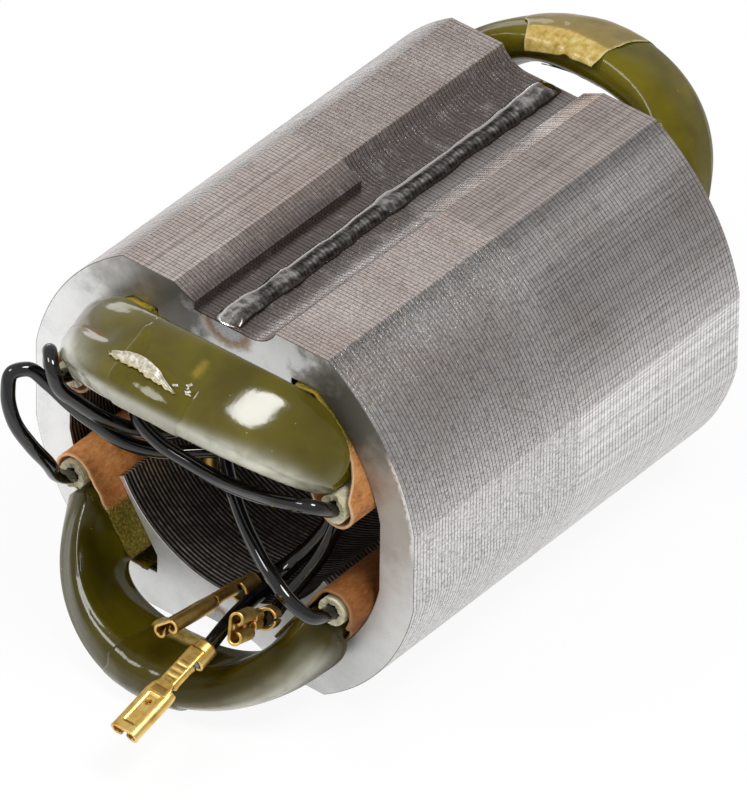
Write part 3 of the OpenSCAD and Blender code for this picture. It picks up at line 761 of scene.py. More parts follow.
def sheet_outside(ledge_side, gap):
    """Outside of a sheet in x and z: side flat, round outside, flat, key groove (hollow wall, floor,
    ledge and slope), flat, round outside and side flat, then the same below."""
    side_z, flat_x = np.sqrt(CORE_R**2 - SIDE_X**2), np.sqrt(CORE_R**2 - FLAT_Z**2)
    low, high = np.arctan2(side_z, SIDE_X), np.arctan2(FLAT_Z, flat_x)
    hollow_top = np.arcsin((FLAT_Z - FLOOR_Z - HOLLOW_R) / HOLLOW_R)
    outline = mirrored_round(np.vstack([
        line((SIDE_X, 0), (SIDE_X, side_z), gap),
        arc((0, 0), CORE_R, low, high, gap),
        line((flat_x, FLAT_Z), (GROOVE_X, FLAT_Z), gap),
        arc((FLOOR_X, FLOOR_Z + HOLLOW_R), HOLLOW_R, hollow_top, -np.pi / 2, gap / 2),
        line((FLOOR_X, FLOOR_Z), (-LEDGE_X, FLOOR_Z), gap),
        line((-LEDGE_X, FLOOR_Z), (-LEDGE_X, LEDGE_Z), gap),
        line((-LEDGE_X, LEDGE_Z), (-GROOVE_X, FLAT_Z), gap),
        line((-GROOVE_X, FLAT_Z), (-flat_x, FLAT_Z), gap),
        arc((0, 0), CORE_R, np.pi - high, np.pi - low, gap),
        line((-SIDE_X, side_z), (-SIDE_X, 0), gap),
        [(-SIDE_X, 0)],
    ]))
    return outline if ledge_side == LEFT else (outline * (-1, 1))[::-1]


def sheet_inside(gap):
    """Inside of a sheet in x and z: slot wall, pole neck, horn and bore, mirrored into four quarters."""
    wall_z, top_x = np.sqrt(SLOT_R**2 - SLOT_SIDE**2), np.sqrt(SLOT_R**2 - SLOT_TOP**2)
    quarter = np.vstack([
        line((SLOT_SIDE, 0), (SLOT_SIDE, wall_z), gap),
        arc((0, 0), SLOT_R, np.arctan2(wall_z, SLOT_SIDE), np.arctan2(SLOT_TOP, top_x), gap),
        line((top_x, SLOT_TOP), (NECK_X, SLOT_TOP), gap),
        line((NECK_X, SLOT_TOP), HORN_ROOT, gap),
        line(HORN_ROOT, TIP_OUT, gap),
        line(TIP_OUT, TIP_IN, gap),
        arc((0, 0), BORE_R, TIP_ANGLE, np.pi / 2, gap),
        [(0, BORE_R)],
    ])
    return mirrored_round(np.vstack([quarter[:-1], (quarter * (-1, 1))[::-1]]))


def stacked_wall(outline, sheets, first_y, into_metal, seed):
    """Wall of a stack: the outline carried along Y, three rings a sheet. The first ring is the joint,
    cut deep. The other two are the sheet's edge, set back by a hundredth or so and tilted by its own
    burr."""
    rng = np.random.default_rng(seed)
    set_back, burr = rng.uniform(0, 0.015, sheets), rng.uniform(0, 0.006, sheets)
    depth = np.stack([np.full(sheets, JOINT_DEEP), set_back, set_back + burr], 1).ravel()
    y = (first_y + SHEET * (np.arange(sheets)[:, None] + SHEET_RINGS)).ravel()
    depth, y = np.append(depth, END_DEEP), np.append(y, first_y + SHEET * sheets)
    depth[0] = END_DEEP
    normal = into_metal * left_of(np.roll(outline, -1, 0) - np.roll(outline, 1, 0))
    share = np.arange(len(outline)) / len(outline)
    nibble = 0.004 * np.maximum(0, 1 + uneven(seed + 1, 40, share[None], np.arange(len(y))[:, None] / 7.3))
    place = outline[None] + normal[None] * (depth[:, None] + nibble)[..., None]
    return points(place[..., 0], y[:, None], place[..., 1])


def lamination_pack(name, sheets, first_y, ledge_side, seed):
    """A pack: its outer wall and its bore wall ring by ring, and an end sheet filled in between them at
    each end."""
    outer = stacked_wall(sheet_outside(ledge_side, 0.8), sheets, first_y, 1, seed)
    inner = stacked_wall(sheet_inside(1.0), sheets, first_y, -1, seed + 10)
    rings, around, within = *outer.shape[:2], inner.shape[1]
    place, walls = joined([outer, inner], TUBE_GRID)
    ends = []
    for ring in (0, rings - 1):
        index = np.array(tessellate_polygon([[Vector(p) for p in wall[ring]] for wall in (outer, inner)]))
        on_inner = rings * around + ring * within + index - around
        ends.append(np.where(index < around, ring * around + index, on_inner))
    edge_kind, face_kind, bore_kind = range(3)
    bore = np.full((rings - 1, within), bore_kind)
    bore[[0, -1]] = face_kind
    kinds = [np.full(len(walls[0]), edge_kind), bore.ravel(), np.full(len(np.vstack(ends)), face_kind)]
    finishes = [SHEET_EDGE_STEEL, END_FACE_STEEL, BORE_STEEL]
    return add_piece(name, place, [*walls, *ends], finishes, np.concatenate(kinds), sharp=6)


def weld_bead(name, level, seed):
    """Weld on the groove floor: across it a low arch with a rolled edge on the left, along it a width
    and height that swell in the pools at the ends, the restart and the break, with fine crescent ripples
    that lag towards the edges and fade in the pools."""
    y = np.linspace(-HALF_LEN + 0.02, HALF_LEN - 0.02, 900)[:, None]
    across = np.linspace(0, np.pi, 41)[None]
    side = np.cos(across)
    bead_len = 53

    def wobble(number, periods):
        return uneven(seed + number, periods, y / bead_len)

    # Pools: middle, reach and strength
    pools = [
        (-HALF_LEN + 2.6, 3.8, 1.0), (-HALF_LEN + 9.4, 2.0, 0.8),
        (BREAK_Y - 0.4, 1.8, 0.6), (HALF_LEN - 3.4, 3.8, 0.8),
    ]
    pool = sum(gain * step(np.abs(y - at), reach, 0.3 * reach) for at, reach, gain in pools)
    pooled = np.clip(pool, 0, 1)
    to_end = np.minimum(y + HALF_LEN, HALF_LEN - y)
    end = np.sqrt(np.clip(to_end / 0.3, 0.02, 1))
    slope = 0.3 + 0.7 * step(to_end, 0.0, 1.7)
    half_w = (1.36 + 0.28 * pool + 0.10 * wobble(0, 22)) * end
    height = (0.50 + 0.30 * pool + 0.05 * wobble(1, 12)) * end * slope
    ripple = np.abs(np.sin(np.pi * (y + 0.6 * side**2 + 0.05 * wobble(3, 30)) / 0.55))
    x = half_w * side + 0.10 * wobble(2, 9)
    crest = 0.028 * (1 - 0.9 * pooled) * (ripple - 0.64) * end
    rolled = bell(side + 0.62, 0.14) * np.clip(1 + 0.5 * wobble(4, 14), 0, 1.4)
    z = FLOOR_Z - 0.04 + (height + crest + 0.24 * rolled * end * slope) * np.sin(across) ** 0.8
    trough_shade = np.minimum(1, bell(side + 0.2, 0.22) + step(side, 0.35, 0.7))
    # Marks for painted shade between the ripples and in bands across the bead, and for painted highlights
    # on the rolled edge and the pools' left side
    marks = {
        "foot": np.abs(side) ** 4, "rolled": rolled, "ripple_shade": (1 - ripple) * (1 - 0.8 * pooled),
        "trough_shade": trough_shade * (1 - 0.55 * pooled), "pooled": pooled * step(side, 0.5, 0.1),
    }
    return add_grid(name, points(x, y, level * z), TUBE_GRID, WELD_METAL, marks)


def wall_at(s):
    """Distance from the horn's line to the yoke wall, at s along the horn: the nearest of arc, top and
    side."""
    return np.minimum.reduce([
        np.sqrt(SLOT_R**2 - (HORN_ROOT @ ALONG + s) ** 2) - HORN_ROOT @ ACROSS,
        (SLOT_TOP - HORN_ROOT[1] - s * ALONG[1]) / ACROSS[1],
        (SLOT_SIDE - HORN_ROOT[0] - s * ALONG[0]) / ACROSS[0],
    ])


NECK_SLOPE = LINER_STEP / wall_at(0.0)
SEAT_SLOPE = NECK_SLOPE * wall_at(SEAT_S) / SEAT_S


def liner_end(s, t):
    """How far a liner stands out of the end face at s along the horn and t away from it: a slanting cut
    that falls off quickly from the sleeve's seat."""
    slant = LINER_OUT + np.minimum(0, SEAT_SLOPE * s - NECK_SLOPE * t)
    tall = LINER_OUT - LINER_LOW
    return LINER_LOW + tall * np.clip((slant - LINER_LOW) / tall, 0, 1) ** 2.6


def end_turn(phi, theta, grow, end, level, filled=0.0):
    """Points on an end turn at one end of the stack, the lower coil's upside down, kept below the flats.
    The angle phi goes round the section, a leaning squared-off ellipse whose top slopes outwards, and
    theta from the right slot to the left. The section starts as the slot's own, spreads over the liner's
    edge and goes over to the end turn's by the sine of theta, later on the yoke's side. grow thickens
    the end turn's section, and filled closes the gap between coil and pole neck."""
    rise = np.sin(theta)
    yoke_side = np.maximum(0, np.sin(phi))
    flange = yoke_side * step(rise, 0.0, 0.06) * step(rise, 0.45, 0.15)
    inset = COIL_IN - 0.17 * (1 - step(rise, 0.0, 0.35)) - 0.55 * flange
    low_s = COIL_S0 * (1 - 0.9 * filled)
    u = (low_s + COIL_S1) / 2 + (COIL_S1 - low_s) / 2 * soft(np.cos(phi), 0.5)
    half = wall_at(u) / 2
    t = half + (half - inset) * soft(np.sin(phi), 0.5)
    slot_x = HORN_ROOT[0] + u * ALONG[0] + t * ACROSS[0]
    slot_z = HORN_ROOT[1] + u * ALONG[1] + t * ACROSS[1]
    out = liner_end(u, t) + 0.3
    power, half_thick, slope, lean, sag = SECTIONS[end, level]
    wide = (TURN_W / 2 + grow) * soft(np.cos(phi + TWIST), power)
    thick = (half_thick + grow) * soft(np.sin(phi + TWIST), power)
    turn_d = TURN_D + sag + wide + lean * thick
    turn_z = TURN_Z + sag + thick - slope * wide
    d = out + (turn_d - out) * rise ** (1 + 0.7 * yoke_side)
    z = slot_z + (turn_z - slot_z) * rise ** (1 - 0.2 * np.sin(phi))
    return points(slot_x * np.cos(theta), end * (HALF_LEN + d), level * np.minimum(z, TURN_TOP))


def slot_plug(name):
    """Resin that fills the corner of the upper left slot by the pole neck: a squared-off ball."""
    turn, up = full_circle(48)[None], np.linspace(-np.pi / 2, np.pi / 2, 25)[:, None]
    x = -(NECK_X + 1.55) + 1.65 * soft(np.cos(turn), 0.6) * soft(np.cos(up), 0.6)
    y = -HALF_LEN - 0.1 + 1.3 * soft(np.sin(turn), 0.8) * soft(np.cos(up), 0.8)
    z = SLOT_TOP - 1.6 + 1.5 * soft(np.sin(up), 0.6)
    marks = {"crease": 0.0, "stain": 0.9, "painted_shade": 0.0, "painted_reflection": 0.0}
    return add_grid(name, points(x, y, z), TUBE_GRID, DIP_RESIN, marks, sharp=80)


def coil(name, level, seed):
    """A dipped coil: front rings from right to left, then rear rings back, closed on themselves, with
    the slow swells of run resin. The upper front turn has a crease at its left end and fills the slot
    there, and the lower front turn has a ridge along its left side."""
    phi, theta = full_circle(240)[None], np.linspace(0, np.pi, 130)[:, None]
    turn, run = np.degrees(phi), np.degrees(theta)
    # The crease with its lips, the ridge, thin resin, and the painted reflections along the edges and on
    # the bulge
    lobe = step(run, 112, 122) * step(run, 170, 155)
    fold = turned_from(turn, 66 - 0.33 * (run - 117))
    crease = bell(fold, 5.5) * lobe
    lips = bell(np.abs(fold) - 16, 9) * lobe
    ridge = bell(turned_from(turn, 315 + 0.49 * (run - 177)), 7) * step(run, 96, 120)
    thin = 0.7 * bell(turned_from(turn, 74), 14) * bell(run - 77, 4)
    belly = bell(run - 38, 26)
    edge = (0.55 + 0.4 * belly) * bell(turned_from(turn, 348), 15 + 8 * belly)
    bulge = 0.8 * bell(turned_from(turn, 24), 22) * bell(run - 140, 17)
    low_edge = bell(turned_from(turn, 20), 20) * (0.35 + 0.65 * step(run, 125, 80)) * step(run, 4, 20)
    rings, marks = [], {"crease": [], "stain": [], "painted_shade": [], "painted_reflection": []}
    for end in (FRONT, REAR):
        shaped, ridged = (float((end, level) == (FRONT, which)) for which in (UPPER, LOWER))
        swell = 0.09 * uneven(seed + end, 5, phi / FULL_TURN, theta / FULL_TURN) - 0.13
        swell = swell + shaped * (0.12 * lips - 0.5 * crease) + ridged * 0.12 * ridge
        rings.append(end_turn(phi, theta, swell, end, level, shaped * step(run, 146, 170))[::-end])
        for mark, values in (
            ("crease", shaped * crease),
            ("stain", shaped * thin),
            # Painted shade on the lower front turn
            ("painted_shade", ridged * (0.35 + 0.5 * step(run, 125, 60)) * (1 - low_edge)),
            # Painted reflections along the edges and on the bulge
            ("painted_reflection", shaped * np.maximum(edge, bulge) + 0.5 * ridged * low_edge),
        ):
            marks[mark].append(values[::-end])
    marks = {mark: np.concatenate(values) for mark, values in marks.items()}
    return add_grid(name, np.concatenate(rings), RING_GRID, DIP_RESIN, marks, sharp=80)


def end_wrap(name, level, seed):
    """A film wrap round a front end turn: the end turn's own surface over about 34 degrees of theta,
    grown by the film's thickness, with ragged side edges that dip back under the resin and a loose lap
    on the bore's side."""
    phi, across = full_circle(200)[None], np.linspace(-1, 1, 41)[:, None]
    share, turn = phi / FULL_TURN, np.degrees(phi)
    ragged = ragged_sides(seed, 14, share, across)
    slant = 6 * bell(turned_from(turn, 135), 45) * np.maximum(0, across)
    theta = np.radians(89 + 17 * across * np.minimum(1 + 0.03 * ragged, 1.04) + slant)
    free = step(np.cos(phi - np.radians(226)), 0.93, 0.99)
    # Strength, middle angle and width of the painted reflection along the film's edge
    pale, pale_at, pale_over = (0.5, 348, 15) if level == UPPER else (0.4, 20, 20)
    wrinkle = 0.02 * uneven(seed + 2, 9, share, across / 3)
    grow = np.where(np.abs(across) > 0.99, -0.25, -0.06 + wrinkle + 0.16 * free)
    outer = end_turn(phi, theta, np.minimum(grow, 0.24), FRONT, level)
    inner = end_turn(phi, theta[::-1], -0.35, FRONT, level)
    rim = np.maximum(across, -0.9 * across) * (level == UPPER)
    painted_reflection = pale * bell(turned_from(turn, pale_at), pale_over)
    marks = {"rim": np.concatenate([rim, rim]), "free": free, "painted_reflection": painted_reflection}
    return add_grid(name, np.concatenate([outer, inner]), RING_GRID, WRAP_FILM, marks)


def flap_wrap(name, level, seed):
    """A film laid over a rear end turn: the end turn's own surface from its underside round the outside
    and over the top, grown by the film's thickness, then lifting off it as a loose flap with a cut edge
    above the stack."""
    along, across = np.linspace(0, 1, 190)[None], np.linspace(-1, 1, 61)[:, None]
    first, loose = -150, 105
    last = 160 + 6 * across - 3.5 * bell(across + 0.2, 0.12)
    turn = first + (last - first) * along
    theta = np.radians(101 + 21 * across * (1 + 0.025 * ragged_sides(seed, 9, along, across)))
    lift = step(turn, loose, 170)
    wrinkle = 0.03 * uneven(seed + 2, 8, along, across / 3)
    sag = 0.10 * lift * uneven(seed + 3, 3, along / 2, across / 3)
    grow = np.minimum(0.02 + wrinkle, 0.16) + 0.75 * lift**1.5 + sag
    grow = np.where(turn < loose, np.minimum(grow, 0.2), grow)
    grid = end_turn(np.radians(turn), theta, grow, REAR, level)
    free = 0.33 * step(turn, 8, 34) + 0.62 * step(turn, 98, 124)
    marks = {"rim": np.abs(across), "free": free, "painted_reflection": 0.0}
    return thicken(add_grid(name, grid, FLAT_GRID, WRAP_FILM, marks), FLAP_T)


def torn_strip(name, seed):
    """A strip torn from the front film: the end turn's own surface along a slanting line, its lower edge
    ragged and stuck down, its upper edge curled up."""
    run, wide = np.linspace(0, 1, 90)[:, None], np.linspace(-1, 1, 17)[None]
    half = 6.5 * np.minimum(1, 0.5 + 2.2 * run) * np.minimum(1, 3.2 * (1 - run) + 0.08)
    torn, bow = np.maximum(0, -wide), np.sin(np.pi * run)
    turn = 54 + 9 * bow - 6 * run + half * wide + 1.4 * uneven(seed, 20, run) * torn
    theta = np.radians(110 - 31 * run + 0.4 * uneven(seed + 1, 8, run, wide / 4))
    wrinkle = 0.03 * uneven(seed + 2, 7, run, wide / 3)
    curl = 0.06 + 0.22 * np.maximum(0, wide) ** 2 + 0.10 * bow + wrinkle
    grid = end_turn(np.radians(turn), theta, curl, FRONT, UPPER)
    return thicken(add_grid(name, grid, FLAT_GRID, FILM_SHARD, {"torn": torn}), SCRAP_T)


def film_crumbs(name, seed):
    """Crumbs of film beside the torn strip: small bent diamonds on the end turn's own surface."""
    rng = np.random.default_rng(seed)
    each = (6, 1, 1)
    a, b = np.meshgrid(np.linspace(-1, 1, 4), np.linspace(-1, 1, 4))
    lean, size = rng.uniform(0, np.pi, each), rng.uniform(0.16, 0.34, each)
    middle_turn, middle_theta = rng.normal(58, 4, each), rng.normal(75.5, 1.6, each)
    one, two = a * np.cos(lean) - 0.6 * b * np.sin(lean), a * np.sin(lean) + 0.6 * b * np.cos(lean)
    turn, theta = middle_turn + 7 * size * one, middle_theta + 3.4 * size * two
    grow = 0.02 + 0.16 * (a**2 * rng.uniform(0.2, 1, each))
    place, faces = joined(end_turn(np.radians(turn), np.radians(theta), grow, FRONT, UPPER))
    return thicken(add_piece(name, place, faces, [FILM_SHARD], marks={"torn": 0.0}), SCRAP_T)


def slot_liner(name, side, level, seed, painted_light_shade, lip):
    """A liner: the slot's wall drawn in by the clearance and half the paper, from the neck along the top
    and the yoke's arc, round the sleeve's seat and back along the horn, carried along Y to a slanting
    ragged cut. A lip is how far its top leg stands out further at the front, flared and closed up to the
    pole neck. Its paper is painted lighter or darker as a whole, as painted light and shade, from 0
    lightest to 1 darkest."""
    inset = LINER_FIT + LINER_T / 2
    top, arc_r, seat_r = SLOT_TOP - inset, SLOT_R - inset, SEAT_R + LINER_FIT - inset
    open_x, top_open = NECK_X + LINER_OPEN, NECK_X + (0.3 if lip else LINER_OPEN)
    top_x = np.sqrt(arc_r**2 - top**2)
    seat_angle, horn_angle = np.arctan2(SEAT[1], SEAT[0]), np.arctan2(-ACROSS[1], -ACROSS[0])
    horn_end = HORN_ROOT + SEAT_S * ALONG + inset * ACROSS
    horn_start = HORN_ROOT + inset * ACROSS + (open_x - HORN_ROOT[0] - inset * ACROSS[0]) / ALONG[0] * ALONG
    section = np.vstack([
        line((top_open, top), (top_x, top), 0.3),
        arc((0, 0), arc_r, np.arctan2(top, top_x), seat_angle, 0.4),
        arc(SEAT, seat_r, seat_angle, horn_angle, 0.3),
        line(horn_end, horn_start, 0.4),
        [horn_start],
    ])
    s, t = (section - HORN_ROOT) @ ALONG, (section - HORN_ROOT) @ ACROSS
    share = np.arange(len(section)) / len(section)
    # Share of the way from the middle to each end, closer together by the cuts
    v = np.concatenate([
        -1 + 0.2 * np.linspace(0, 1, 30) ** 1.6, np.linspace(-0.78, 0.78, 9),
        1 - 0.2 * np.linspace(1, 0, 24) ** 1.6,
    ])[:, None]
    fray = 0.06 * uneven(seed, 40, share) + 0.05 * uneven(seed + 2, 12, share) - 0.12
    top_leg = step(t, 1.5, 3.0)
    on_top = step(section[:, 0], 15.2, 12.6) * top_leg
    on_top = on_top * np.sqrt(step(section[:, 0], top_open - 0.6, top_open + 1.4))
    frayed = np.where(v < 0, fray + lip * on_top, -fray - 0.24)
    reach = HALF_LEN + np.maximum(liner_end(s, t), 0.35) + frayed
    y = v * reach
    lump = np.minimum(0.03 * uneven(seed + 1, 12, share, v), 0.02)
    flare = 0.5 * lip * on_top * step(-y - HALF_LEN, 0.1, lip + 0.6)
    out = left_of(np.gradient(section, axis=0))
    place = section[None] + out[None] * (lump + flare)[..., None]
    cut = 1 - np.maximum(0, reach - np.abs(y)) / 4
    off_seat = np.hypot(*(section - SEAT).T) - SEAT_R
    near_cut = np.where(lip * on_top > 0, 0.5, 0.92)
    marks = {
        "cut": cut, "soaked": np.where(t < 1.2, step(off_seat, 0.4, 4.6), step(off_seat, 0.6, 5.5)),
        "painted_light_shade": painted_light_shade, "gilt": step(cut, near_cut, near_cut + 0.1) * top_leg * (y < 0),
    }
    grid = points(side * place[..., 0], y, level * place[..., 1])
    return thicken(add_grid(name, grid, FLAT_GRID, FISH_PAPER, marks), LINER_T - 0.03)


def lead_sleeve(name, side, level, seed):
    """A fibreglass sleeve: a round wall from its inner end to its mouth and back inside, the mouth torn
    to a different length at each angle."""
    turn = np.linspace(0, 1, 72, endpoint=False)[None]
    angle = FULL_TURN * turn
    run = np.concatenate([np.linspace(0, 1, 20), np.linspace(1, 0, 20)])[:, None]
    outside = np.repeat([1.0, 0.0], 20)[:, None]
    wall = np.where(outside > 0, SLEEVE_D / 2 - 0.03, LEAD_D / 2 + 0.05)
    torn = np.maximum(0, uneven(seed, 7, turn)) * 0.26 + np.maximum(0, uneven(seed + 1, 26, turn)) * 0.10
    mouth = SLEEVE_Y + torn + 0.12 * (1 - outside)
    back = SLEEVE_Y + SLEEVE_IN
    y = back + (mouth - back) * run**0.7
    fuzz = 0.05 * uneven(seed + 2, 18, turn, run) * run**6
    radius = wall + np.where(outside > 0, -np.abs(fuzz), np.abs(fuzz))
    grid = points(side * SEAT[0] + radius * np.cos(angle), y, level * SEAT[1] + radius * np.sin(angle))
    return add_grid(name, grid, RING_GRID, GLASS_SLEEVE, {"turn": turn, "run": y - SLEEVE_Y})


def smooth_path(stops, per_span):
    """Curve through the stops: a cubic on each span, whose slope at a stop is the mean of the slopes on
    both sides, each weighted by the other span's length."""
    p = np.asarray(stops, float)
    span = np.linalg.norm(np.diff(p, axis=0), axis=1)[:, None]
    slope = np.diff(p, axis=0) / span
    inner = (slope[:-1] * span[1:] + slope[1:] * span[:-1]) / (span[1:] + span[:-1])
    bend = np.vstack([slope[:1], inner, slope[-1:]])
    t = np.linspace(0, 1, per_span, endpoint=False)[None, :, None]
    a, b = p[:-1, None], p[1:, None]
    ma, mb = (bend[:-1] * span)[:, None], (bend[1:] * span)[:, None]
    curve = (2 * t**3 - 3 * t**2 + 1) * a + (t**3 - 2 * t**2 + t) * ma
    curve = curve + (3 * t**2 - 2 * t**3) * b + (t**3 - t**2) * mb
    return np.vstack([curve.reshape(-1, 3), p[-1:]])


def carried_sides(path):
    """Two directions square to a path at each of its points, the first being the last point's with its
    part along the new tangent taken away."""
    tangent = np.gradient(path, axis=0)
    tangent /= np.linalg.norm(tangent, axis=1)[:, None]
    not_along = [0.3, 0.2, 0.9]
    sides = [np.cross(tangent[0], not_along)]
    for t in tangent:
        across = sides[-1] - t * (sides[-1] @ t)
        sides.append(across / np.linalg.norm(across))
    one = np.array(sides[1:])
    return one, np.cross(tangent, one)


def round_tube(path, radius, sides):
    """Circle carried along a path, its radius falling to nothing at both ends."""
    one, two, path = (np.vstack([a[:1], a, a[-1:]])[:, None] for a in (*carried_sides(path), path))
    radii = np.full((len(path), 1, 1), radius)
    radii[[0, -1]] = 1e-4
    angle = full_circle(sides)[None, :, None]
    return path + radii * (np.cos(angle) * one + np.sin(angle) * two)


def terminal_aim(corner):
    """Unit vector along a terminal."""
    aim, _ = TERMINAL_AIMS[corner]
    return np.array(aim) / np.linalg.norm(aim)


def at_terminal(place, corner):
    """Points of a terminal that lies along +X, rolled about X, turned to its aim and moved to its lead's
    end."""
    x, y, z = terminal_aim(corner)
    _, roll = TERMINAL_AIMS[corner]
    turn = Matrix.Rotation(np.arctan2(y, x), 3, "Z") @ Matrix.Rotation(-np.arcsin(z), 3, "Y")
    turn = np.array(turn @ Matrix.Rotation(np.radians(roll), 3, "X"))
    return np.array(ROUTES[corner][-1]) + place @ turn.T


def bent_strip(x, width, radius, turn, count):
    """Strip section at each x: flat to the width on both sides of the middle, then up round an arc of
    that radius through the turn. Gives x, y, z and how far round the bend each point is."""
    share = np.linspace(-1, 1, count)[None]
    x, width, radius, turn = (np.broadcast_to(a, x.shape)[:, None] for a in (x, width, radius, turn))
    run = np.abs(share) * (width + radius * turn)
    angle = np.maximum(run - width, 0) / radius
    y = np.sign(share) * (np.minimum(run, width) + radius * np.sin(angle))
    z = STRIP_Z + radius * (1 - np.cos(angle))
    return np.broadcast_to(x, y.shape), y, z, angle


def terminal(name, corner):
    """A crimp receptacle out of bent strips: grip round the insulation, neck, crimp folded into a B over
    the strands, and a receptacle with both edges rolled in, a pressed panel and a latch hole."""
    crimp_end, box_end = CRIMP_X + CRIMP_LEN, BOX_X + BOX_LEN
    grip_x, neck_x = np.linspace(0, GRIP_LEN, 14), np.linspace(GRIP_LEN / 2, BOX_X + 1, 40)
    crimp_x, box_x = np.linspace(CRIMP_X, crimp_end, 40), np.linspace(BOX_X, box_end, 96)
    mouths = bell(crimp_x - CRIMP_X, 0.35) + bell(crimp_x - CRIMP_X - CRIMP_LEN, 0.35)
    shoulder, lip = step(box_x, BOX_X, BOX_X + 0.9), step(box_x, box_end - 0.5, box_end)
    pressed = step(neck_x, BOX_X - 0.9, BOX_X + 0.2)
    rolled_in = np.radians(95 + 190 * shoulder - 30 * lip)
    grids, folds = [], []
    for x, y, z, angle in (
        bent_strip(grip_x, 0.01, -STRIP_Z, np.radians(173), 48),
        bent_strip(neck_x, 0.66 + 0.4 * pressed, 0.25, np.radians(52), 24),
        bent_strip(crimp_x, 0.45, 0.46 + 0.05 * mouths, np.radians(262), 56),
        bent_strip(box_x, 0.9 + 0.1 * shoulder, 0.6 + 0.025 * lip, rolled_in, 96),
    ):
        on_crimp = step(angle, 0.6, 0.1) * (np.abs(x - CRIMP_X - CRIMP_LEN / 2) < 1.6)
        on_box = (angle < 0.2) * (x > BOX_X)
        ridges = sum(bell(x - CRIMP_X - at, 0.16) for at in (0.7, 1.5, 2.3))
        panel = step(x, BOX_X + 1.1, BOX_X + 1.35) * step(x, BOX_X + 5.5, BOX_X + 5.2)
        panel = panel * step(np.abs(y), 0.86, 0.66)
        hole = step(np.hypot(x - BOX_X - 2.2, y), 0.46, 0.34)
        grids.append(points(x, y, z + 0.06 * ridges * on_crimp + (0.13 * panel + 0.5 * hole) * on_box))
        folds.append(np.clip(angle / np.radians(260), 0, 1) ** 2 + 0.9 * hole * on_box)
    place, faces = joined(grids)
    marks = {"fold": np.concatenate([fold.ravel() for fold in folds])}
    piece = add_piece(name, at_terminal(place, corner), faces, [TERMINAL_BRASS], marks=marks, sharp=50)
    return thicken(piece, STRIP_T - 0.05)


def strands(name, corner):
    """Seven bare strands, six of them twisted round the one in the middle, from the grip through the
    crimp."""
    x = np.linspace(GRIP_LEN - 0.6, BOX_X + 0.2, 24)
    tubes = []
    for number, spread in enumerate([0.24] * 6 + [0.0]):
        angle = number * np.pi / 3 + 0.7 * x
        path = np.stack([x, 1.25 * spread * np.cos(angle), -0.58 + spread * np.sin(angle)], 1)
        tubes.append(round_tube(path, 0.13, 6))
    place, faces = joined(tubes, TUBE_GRID)
    return add_piece(name, at_terminal(place, corner), faces, [COPPER_STRAND])


def lead(name, corner):
    """A lead: a circle carried along the smooth curve through its route, from its splice into its
    crimp."""
    side, level = CORNERS[corner]
    seat = np.array([side * SEAT[0], 0, level * SEAT[1]])
    route = np.array(ROUTES[corner], float)
    path = smooth_path(np.vstack([
        seat + [0, SLEEVE_Y + LEAD_IN, 0], seat + [0, SLEEVE_Y, 0], route,
        route[-1] + GRIP_LEN * terminal_aim(corner),
    ]), 8)
    return add_grid(name, round_tube(path, LEAD_D / 2, 16), TUBE_GRID, LEAD_SKIN, sharp=80), path


def white_floor():
    """White floor under the lower flats. It glows where it is seen straight or in a reflection, in
    reflections less with the distance from a spot in front of the left side."""
    mesh = bpy.data.meshes.new("floor")
    reach, below = 4.0, 0.00002
    corners = np.array([(-reach, -reach), (reach, -reach), (reach, reach), (-reach, reach)])
    mesh.from_pydata(np.column_stack([corners, np.full(4, -FLAT_Z * MM - below)]), [], [(0, 1, 2, 3)])
    floor = bpy.data.objects.new("floor", mesh)
    bpy.context.scene.collection.objects.link(floor)
    f = Finish("white_floor")
    rays = f.node("LightPath").node.outputs
    straight = rays["Is Camera Ray"]
    seen = f.math("MAXIMUM", straight, rays["Is Glossy Ray"])
    seen = f.math("MAXIMUM", seen, rays["Is Transmission Ray"])
    dimmed = f.ease(f.measure("DISTANCE", f.mm, (-70, -40, 0)), 85, 250, 1.0, 0.45)
    matt = f.node("BsdfDiffuse", Color=(0.92, 0.92, 0.92))
    glow = f.node("Emission", Strength=f.math("MAXIMUM", dimmed, straight))
    f.node("OutputMaterial", f.node("MixShader", f.times(seen, 0.92), matt, glow))
    mesh.materials.append(f.material)


def studio():
    """A large soft lamp above the right side, a weaker one in front of the left, a low one behind the
    left side, and a sky that is a little dimmer at the right of the rear."""
    # Places and sizes in metres, power in watts
    for name, place, size, power in (
        ("soft_lamp_right", (0.25, -0.04, 0.56), (0.22, 0.23), 2.2),
        ("soft_lamp_left", (-0.24, -0.32, 0.47), (0.21, 0.17), 0.9),
        ("rim_lamp_left", (-0.46, 0.36, 0.10), (0.30, 0.20), 0.22),
    ):
        lamp = bpy.data.lights.new(name, "AREA")
        lamp.shape = "ELLIPSE"
        lamp.size, lamp.size_y = size
        lamp.energy = power
        holder = bpy.data.objects.new(name, lamp)
        holder.location = place
        holder.visible_camera = False
        holder.rotation_euler = Vector(place).to_track_quat("Z", "Y").to_euler()
        bpy.context.scene.collection.objects.link(holder)

    bpy.context.scene.world = bpy.data.worlds.new("studio")
    sky = NodeTree(bpy.context.scene.world)
    towards = sky.measure("DOT_PRODUCT", sky.node("TexCoord", out="Generated"), (0.62, 0.58, 0.53))
    strength = sky.node("MapRange", Value=towards, From_Min=0.2, From_Max=0.85, To_Min=0.53, To_Max=0.37)
    sky.node("OutputWorld", sky.node("Background", Color=(1, 1, 1), Strength=strength))


